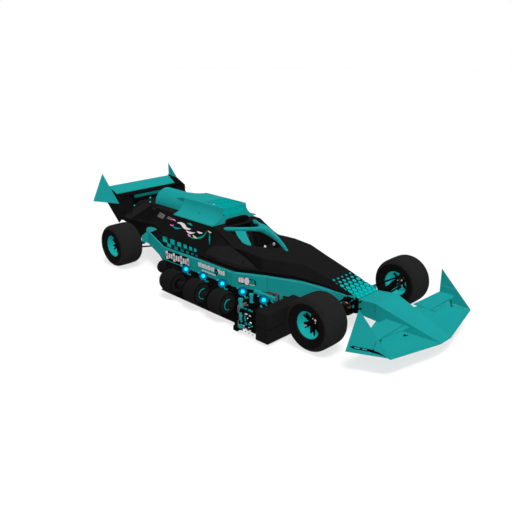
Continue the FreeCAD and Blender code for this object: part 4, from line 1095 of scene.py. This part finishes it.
def rim(tag, centre, axis, half):
    """Deep barrel with a lip and a well."""
    lip = half - 0.038
    steps = [(0.0005, lip - 0.004), (0.001, lip), (0.006, lip - 0.001), (0.010, lip - 0.010),
             (0.013, lip - 0.026), (0.0145, lip - 0.050), (0.0165, lip - 0.056), (0.0165, lip - 0.064),
             (0.0145, lip - 0.070), (0.013, -lip + 0.03), (0.009, -lip), (0.001, -lip), (0.001, -lip + 0.01)]
    bm = lathe([(RIM_R - drop, along) for drop, along in steps], centre, axis, closed=True)
    add(f"rim_{tag}_barrel", bm, rim_teal, f"wheel_{tag}", 40, (f"rim_{tag}",))


def hub_details(tag, centre, axis):
    """Six-point star with covered spokes, and the nut, studs, plug and bolts at its middle."""
    body, middle_of = f"wheel_{tag}", (centre - MID) * 1000
    star = refine(f"wheel_spider_{tag}", black_trim, sharp=25, body=body)
    recolour(star, rim_teal, lambda p: math.hypot(p.x - middle_of.x, p.z - middle_of.z) > 121)
    covers, silver, warm, dark = (bmesh.new() for _ in range(4))
    for k in range(6):
        blade(covers, centre, 60 * k + 20, (0.022, 0.024), (0.126, 0.0125), axis, (0.060, 0.0715))
    add(f"spoke_covers_{tag}", covers, black_trim, body, smooth=20)
    hub = centre + axis * 0.078
    lathe([(0.0, 0.010), (0.012, 0.009), (0.017, 0.004), (0.018, -0.004), (0.0, -0.004)], hub, axis, 6,
          silver)
    for angle, r, size in ((49, 0.061, 0.012), (82, 0.058, 0.007), (137, 0.018, 0.006), (292, 0.024, 0.006),
                           (20, 0.046, 0.006)):
        dome = [(0.0, size * 0.9), (size * 0.7, size * 0.6), (size, 0.0), (size * 0.9, -0.004), (0.0, -0.004)]
        lathe(dome, hub + ray(angle) * r, axis, 20, silver)
    plug = [(0.0, 0.011), (0.006, 0.0095), (0.0105, 0.004), (0.010, -0.003), (0.0, -0.004)]
    lathe(plug, hub + ray(212) * 0.098, axis, 24, warm)
    for k in range(12):
        bolt(dark, hub + ray(30 * k) * 0.028 - axis * 0.001, axis, 0.004, 0.004)
    add(f"hub_{tag}_steel", silver, bright, body, smooth=35)
    add(f"hub_{tag}_plug", warm, copper, body, smooth=60)
    add(f"hub_{tag}_bolts", dark, graphite, body, smooth=30)


def shroud(tag, centre, inward, body):
    """Teal flange, black star and steel bits that show inside the wheel from the car's middle."""
    plane = centre + inward * 0.026
    flange = [(0.060, 0.0), (0.128, 0.0), (0.136, 0.010), (0.139, 0.030), (0.136, 0.030), (0.133, 0.012),
              (0.126, 0.004), (0.060, 0.004)]
    add(f"shroud_{tag}", lathe(flange, plane, inward, 72, closed=True), rim_teal, body, smooth=40)
    star, bits = bmesh.new(), bmesh.new()
    hub = plane + inward * 0.010
    for k in range(6):
        blade(star, hub, 60 * k + 20, (0.030, 0.020), (0.126, 0.011), inward, (-0.004, 0.010))
    lathe([(0.0, 0.016), (0.022, 0.016), (0.036, 0.008), (0.040, -0.004), (0.0, -0.004)], hub, inward, 48,
          star)
    add(f"shroud_{tag}_star", star, black_trim, body, smooth=30)
    for angle, r, size in ((40, 0.030, 0.010), (100, 0.052, 0.007), (170, 0.034, 0.007), (310, 0.055, 0.006)):
        dome = [(0.0, size), (size * 0.75, size * 0.65), (size, 0.0), (0.0, -0.006)]
        lathe(dome, hub + ray(angle) * r + inward * 0.010, inward, 20, bits)
    add(f"shroud_{tag}_steel", bits, bright, body, smooth=45)


def outer_shroud(tag, centre, axis, body):
    """C-shaped cover in front of the carrier's face, open towards the front of the car."""
    section = ((0.024, 0.038), (0.026, 0.043), (0.110, 0.043), (0.130, 0.041), (0.131, 0.037), (0.024, 0.036))
    loops = [[centre + axis * along + ray(84 + 214 * k / 36) * r for r, along in section] for k in range(37)]
    add(f"shroud_{tag}_outer", skin(loops), rim_teal, body, smooth=35)


def arm_fairing(end, side):
    """Flattened fairing round the arms, from the body to just inside the upright, with a brake line."""
    f, tag = (1 if end == "front" else -1), f"{end}_{SIDE_NAME[side]}"
    x0 = 1835 * f
    root, tip = Vector((x0 - 22 * f, side * 470, 252)), Vector((x0 - 34 * f, side * 722, 272))
    bm = sweep([car(*root.lerp(tip, k / 8)) for k in range(9)],
               [(0.058 - 0.002 * k, 0.021) for k in range(9)], segments=24)
    add(f"arm_fairing_{tag}", bm, black_trim, smooth=60)
    line = [car(x0 + 6 * f, side * 500, 226), car(x0 - 6 * f, side * 722, 240)]
    add(f"brake_line_{tag}", sweep(line, (0.010, 0.006), segments=12), teal_flat, smooth=60)


for end in ("front", "rear"):
    for name, side in SIDES.items():
        tag = f"{end}_{name}"
        low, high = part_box(f"tyre_{tag}")
        centre, axis = (low + high) / 2, Vector((0, side, 0))
        half = (high.y - low.y) / 2
        tyre(tag, centre, axis, half, (high.x - low.x) / 2 + 0.0001)
        rim(tag, centre, axis, half)
        hub_details(tag, centre, axis)
        carrier = f"knuckle_{name}" if end == "front" else "chassis"
        shroud(tag, centre, -axis, carrier)
        outer_shroud(tag, centre, axis, carrier)
        arm_fairing(end, side)

# ---- front suspension bay -----------------------------------------------------------------------------


def bay(name, side):
    """Dark opening in the flank ahead of the rail, with rocker, damper can and links."""
    outline = [(1750, 404), (1830, 392), (1908, 378), (1909, 220), (1830, 200), (1762, 240), (1724, 290)]
    decal(f"bay_{name}_panel", [outline], name, (f"side_rail_{name}", "monocoque", "nose_cone"), seam_black,
          lift=0.002, cell=0.03)
    corners = [(1752, 290, 254), (1930, 290, 254), (1930, 390, 256), (1880, 440, 258), (1752, 440, 258)]
    tray = [[car(x, side * y, z + d) for x, y, z in corners] for d in (0, 5)]
    add(f"bay_{name}_tray", skin(tray), black_trim, smooth=0)
    dark, grey, aqua, steel = (bmesh.new() for _ in range(4))
    # solid, two ends as (x, out, z), radii, segments
    parts = [(grey, (1752, 242, 300), (1838, 242, 290), (0.030, 0.030), 28),
             (dark, (1760, 248, 366), (1826, 248, 352), (0.020, 0.022), 24),
             (steel, (1778, 248, 322), (1806, 256, 326), (0.006, 0.006), 12),
             (aqua, (1792, 258, 360), (1820, 258, 352), (0.007, 0.007), 12),
             (aqua, (1866, 222, 330), (1864, 222, 276), (0.009, 0.009), 12)]
    parts += [(dark, (x - 4, 248, 296), (x + 4, 248, 295), (0.034, 0.034), 28) for x in (1768, 1790, 1812)]
    for bm, (x0, y0, z0), (x1, y1, z1), radii, segments in parts:
        sweep([car(x0, side * y0, z0), car(x1, side * y1, z1)], radii, bm, segments)
    for tag, bm, mat in (("damper", grey, brown_block), ("collars", dark, black_trim), ("pin", steel, bright),
                         ("lines", aqua, teal_flat)):
        add(f"bay_{name}_{tag}", bm, mat, smooth=50)


for name, side in SIDES.items():
    bay(name, side)

# ---- nose and front wing ------------------------------------------------------------------------------
NOSE, FLAPS, PLATES = ("nose_cone",), ("front_flaps", "front_wing"), ("front_endplates",)
# painted highlight: a lighter teal strip along the top edge of each rail's outer face
rail_top = [(x, rail_span(x)[1] - 9) for x in range(-600, 1700, 100)]
both("rail_top_painted_highlight", [strip(rail_top, 13)], FLANK, teal_highlight_and_trim, lift=0.001, cell=0.08)
both("nose_seam", [strip([(2140, 262), (2140, 384)], 5)], NOSE, teal_line)
both("nose_rivet", [disc(2140, 318, 6, 8)], NOSE, seam_black, lift=0.002)
decal("flap_line", [strip([(2557, -790), (2555, -215)], 6), strip([(2555, 215), (2557, 790)], 6)], "top",
      FLAPS, teal_line)
decal("flap_foot", [[(2520, s * 205), (2575, s * 205), (2548, s * 262)] for s in (1, -1)], "top", FLAPS,
      seam_black, lift=0.002)
both("endplate_seam", [strip([(2586, 222), (2584, 330)], 5)], PLATES, teal_line)
sweep_mark = [(2372, 258), (2410, 268), (2560, 262), (2640, 246), (2716, 214), (2650, 226), (2560, 238),
              (2420, 240)]
both("endplate_sweep", [sweep_mark], PLATES, seam_black, lift=0.0016)
both("endplate_sweep_inner", [[(2416, 262), (2470, 262), (2470, 248), (2420, 248)],
                              [(2492, 261), (2530, 258), (2530, 246), (2492, 247)]], PLATES, teal, lift=0.003)
both("endplate_clip", [rect(2578, 2594, 238, 262)], PLATES, seam_black, lift=0.004)
# painted highlight: thin beads in the lighter teal along each front endplate
beads = bmesh.new()
for side in SIDES.values():
    sweep([car(2368, side * 806, 400), car(2556, side * 806, 395)], (0.003, 0.003), beads, 8)
add("endplate_beads", beads, teal_highlight_and_trim, smooth=50)

# ---- rail ends and the tail ---------------------------------------------------------------------------
# rail-end tabs, in the lighter teal that paints a highlight on them
for name, side in SIDES.items():
    rear = span(f"side_rail_{name}")[0].x
    loop = smooth_loop([(rear + 35, 470), (rear + 45, 505), (rear + 85, 540), (rear + 185, 555),
                        (rear + 275, 555), (rear + 285, 530), (rear + 215, 500), (rear + 125, 480)], 3)
    tab = [[car(x, side * (500 + d), z) for x, z in loop] for d in (0, 10)]
    add(f"rail_end_tab_{name}", skin(tab), teal_highlight_and_trim, smooth=35)


def tail():
    """Caps on the columns of the rear pillars, tiles on the light bar and small lamps."""
    caps, tiles, dark_tiles = bmesh.new(), bmesh.new(), bmesh.new()
    for low, high in islands("rear_pillars"):
        y = ((low + high) / 2).y
        if high.x - low.x > 160 and high.z > 800 and abs(y) > 400:
            lathe([(0.093, -0.004), (0.093, 0.002), (0.080, 0.007), (0.050, 0.0095), (0.0, 0.010)],
                  car(-2138, y, 870), (0, 0, 1), 40, caps)
    add("column_caps", caps, black_trim, smooth=50)
    low, high = span("rear_light_bar")
    count, pitch = 22, (high.y - low.y - 20) / 22
    for k in range(count):
        y = low.y + 10 + pitch * k
        block(car(high.x - 6, y, low.z + 5), car(high.x - 0.4, y + pitch * 0.8, high.z - 5), 0.002,
              tiles if k % 3 else dark_tiles)
    add("light_bar_tiles", tiles, teal_flat, smooth=30)
    add("light_bar_tiles_dark", dark_tiles, teal_dark, smooth=30)
    bead = [(0.0, -0.009), (0.008, -0.005), (0.009, 0.0), (0.008, 0.005), (0.0, 0.009)]
    for number, spot in enumerate(((-2240, 8, 775), (-1932, -214, 800), (-2159, -345, 728), (-2159, 345, 728),
                                   (-1932, 214, 800))):
        place = car(*spot)
        add(f"tail_lamp_{number}", lathe(bead, place, (0.3, 0, 1), 20), lamp_glass, smooth=70, origin=place)


tail()

# ---- body seams and fasteners -------------------------------------------------------------------------
both("deck_seam", [strip([(-220, 770), (20, 640), (120, 610), (410, 585), (735, 485)], 6)],
     ("monocoque", "sidepod_*", "tail_body"), seam_black)
for name in SIDES:
    ray_bolts(f"deck_screws_{name}", [(-60 + 46 * k, 560 - 3.0 * k) for k in range(14)], name,
              (f"sidepod_{name}", "monocoque", "tail_body"), black_trim, 0.006)
    ray_bolts(f"rail_screws_{name}", [(-900 + 150 * k, 258) for k in range(16)], name, (f"side_rail_{name}",),
              teal_dark, 0.005)
ray_bolts("tail_screws", [(x, y) for x in (-2180, -1990, -1800) for y in (-180, -90, 90, 180)], "top", TAIL,
          graphite, 0.007)

# ---- cockpit ------------------------------------------------------------------------------------------


def cushion(name, low, high):
    """A crowned pad: rounded-square loops along x, closed, subdivided and padded."""
    (_, cy, cz), (_, hy, hz) = (low + high) / 2, (high - low) / 2
    count, squareness = 40, 5.0
    loops = []
    for t, pull in ((0.0, 0.84), (0.12, 0.95), (0.5, 1.0), (0.88, 0.95), (1.0, 0.84)):
        loop = []
        for a in (2 * math.pi * k / count for k in range(count)):
            c, s = math.cos(a), math.sin(a)
            reach = pull * (abs(c) ** squareness + abs(s) ** squareness) ** (-1 / squareness)
            loop.append(car(low.x + (high.x - low.x) * t, cy + hy * c * reach, cz + hz * s * reach))
        loops.append(loop)
    obj = add(name, skin(loops), cloth, smooth=0)
    sub = obj.modifiers.new("round", "SUBSURF")
    sub.levels = sub.render_levels = 2
    apply_modifiers(obj)
    obj.data.shade_smooth()
    return obj


def seat_and_headrest():
    """Pads on the seat and in place of the headrest, with belts and a buckle."""
    low, high = span("headrest")
    margin = Vector((2, 2, 2))
    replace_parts(cushion("headrest_pad", low + margin, high - margin), "headrest")
    refine("seat", black_side, 0.004, 3, sharp=30)
    rear = span("seat")[0].x
    for number, (x, z, tall) in enumerate(((72, 560, 96), (98, 440, 104), (124, 330, 112))):
        cushion(f"seat_pad_{number}", Vector((rear + x - 4, -122, z - tall / 2)),
                Vector((rear + x + 16, 122, z + tall / 2)))
    cushion("seat_base_pad", Vector((rear + 190, -120, 206)), Vector((rear + 400, 120, 232)))
    belts = bmesh.new()
    for y in (-62, 62):
        path = ((44, y, 640), (84, y * 0.98, 612), (100, y * 0.9, 500), (128, y * 0.7, 400),
                (168, y * 0.5, 300))
        sweep([car(rear + x, across, z) for x, across, z in path], (0.022, 0.0022), belts, 16)
    add("harness_belts", belts, strap, smooth=50)
    add("harness_buckle", block(car(rear + 160, -26, 276), car(rear + 186, 26, 306), 0.004), alloy, smooth=30)


seat_and_headrest()


def steering():
    """Bright grips and teal keys on the steering wheel."""
    low, high = span("steering_wheel")
    grips, keys = bmesh.new(), bmesh.new()
    for s in SIDES.values():
        path = [car(low.x + x, s * (high.y - y), high.z - z)
                for x, y, z in ((30, 14, 40), (28, 10, 20), (24, 14, 2))]
        sweep(path, [(0.013, 0.013), (0.018, 0.018), (0.013, 0.013)], grips)
    for y, z in ((-44, 590), (44, 590), (-36, 560), (36, 560), (-20, 540), (20, 540)):
        bolt(keys, car(low.x + 1.6, y, z), (-1, 0, 0), 0.005, 0.003)
    add("wheel_grips", grips, bright, smooth=60)
    add("wheel_keys", keys, teal_flat, smooth=30)


steering()
decal("headrest_shadow_panel", [[(-180, 700), (180, 700), (196, 770), (-196, 770)]], "front",
      ("headrest", "tail_body", "monocoque"), seam_black)

# ---- underside ----------------------------------------------------------------------------------------
FLOOR_LOW = span("floor")[0]
plank = bmesh.new()
for k in range(5):
    x0 = FLOOR_LOW.x + 260 + 520 * k
    block(car(x0, -150, FLOOR_LOW.z + 0.2), car(x0 + 470, 150, FLOOR_LOW.z + 6), 0.002, plank)
add("floor_plank", plank, black_side, smooth=30)

# ---- floor, light and camera --------------------------------------------------------------------------


def seen(nodes, links):
    """1 for camera, glossy and transmitted rays, 0 for the rays that carry light on to the object."""
    path = nodes.new("ShaderNodeLightPath")
    level = path.outputs["Is Camera Ray"]
    for kind in ("Is Glossy Ray", "Is Transmission Ray"):
        most = nodes.new("ShaderNodeMath")
        most.operation = "MAXIMUM"
        links.new(level, most.inputs[0])
        links.new(path.outputs[kind], most.inputs[1])
        level = most.outputs[0]
    return level


def stage():
    """White floor that shows a shadow, and a white world whose own light is weak."""
    bm = bmesh.new()
    bmesh.ops.create_circle(bm, cap_ends=True, radius=60.0, segments=64)
    mesh = bpy.data.meshes.new("stage_floor")
    bm.to_mesh(mesh)
    bm.free()
    ground = bpy.data.objects.new("stage_floor", mesh)
    bpy.context.scene.collection.objects.link(ground)
    t = Tree("stage_white")
    level = seen(t.nodes, t.links)
    t.set(Base_Color=t.mix(level, (0.17, 0.17, 0.17), (0.40, 0.40, 0.40)), Roughness=0.9,
          Specular_IOR_Level=0.0)
    t.set(Emission_Color=(1.0, 1.0, 1.0), Emission_Strength=t.math("MULTIPLY", level, 0.40))
    mesh.materials.append(t.mat)

    world = bpy.data.worlds.new("studio")
    bpy.context.scene.world = world
    world.use_nodes = True
    nodes, links = world.node_tree.nodes, world.node_tree.links
    strength = nodes.new("ShaderNodeMapRange")
    strength.inputs["To Min"].default_value = 0.16
    strength.inputs["To Max"].default_value = 1.0
    links.new(seen(nodes, links), strength.inputs["Value"])
    background = nodes["Background"]
    background.inputs["Color"].default_value = (1, 1, 1, 1)
    links.new(strength.outputs[0], background.inputs["Strength"])
    return ground


def sun(name, direction, strength, spread):
    """A sun that casts no shadow and isn't sampled by way of the surfaces."""
    light = bpy.data.lights.new(name, "SUN")
    light.use_shadow = False
    light.cycles.use_multiple_importance_sampling = False
    light.energy = strength
    light.angle = math.radians(spread)
    obj = bpy.data.objects.new(name, light)
    obj.rotation_euler = Vector(direction).to_track_quat("-Z", "Y").to_euler()
    bpy.context.scene.collection.objects.link(obj)
    return obj


ground = stage()
sun("sun_key", (-0.66, 0.28, -0.69), 1.45, 60)
for tag, way, strength in (("right", (0, 1, 0), 0.27), ("left", (0, -1, 0), 0.42),
                           ("front", (-1, 0, 0), 0.27), ("rear", (1, 0, 0), 0.42), ("top", (0, 0, -1), 1.20),
                           ("under", (0, 0, 1), 0.38)):
    sun("soft_" + tag, way, strength, 120)

# one more sun lights the floor only, so that the object's shadow stays on it
floor_only = bpy.data.collections.new("lit_by_shadow_sun")
floor_only.objects.link(ground)
shadow_sun = sun("sun_floor", (-0.25, 0.12, -1), 2.2, 25)
shadow_sun.data.use_shadow = True
shadow_sun.light_linking.receiver_collection = floor_only

camera = bpy.data.objects.new("camera", bpy.data.cameras.new("camera"))
camera.data.angle = math.radians(45)
camera.location = (5.4021, -5.4080, 3.1371)
azimuth, tilt = math.radians(134.97), math.radians(19.5)
look = Vector((math.cos(azimuth) * math.cos(tilt), math.sin(azimuth) * math.cos(tilt), -math.sin(tilt)))
camera.rotation_euler = look.to_track_quat("-Z", "Y").to_euler()
bpy.context.scene.collection.objects.link(camera)
bpy.context.scene.camera = camera
bpy.context.scene.view_settings.view_transform = "Standard"
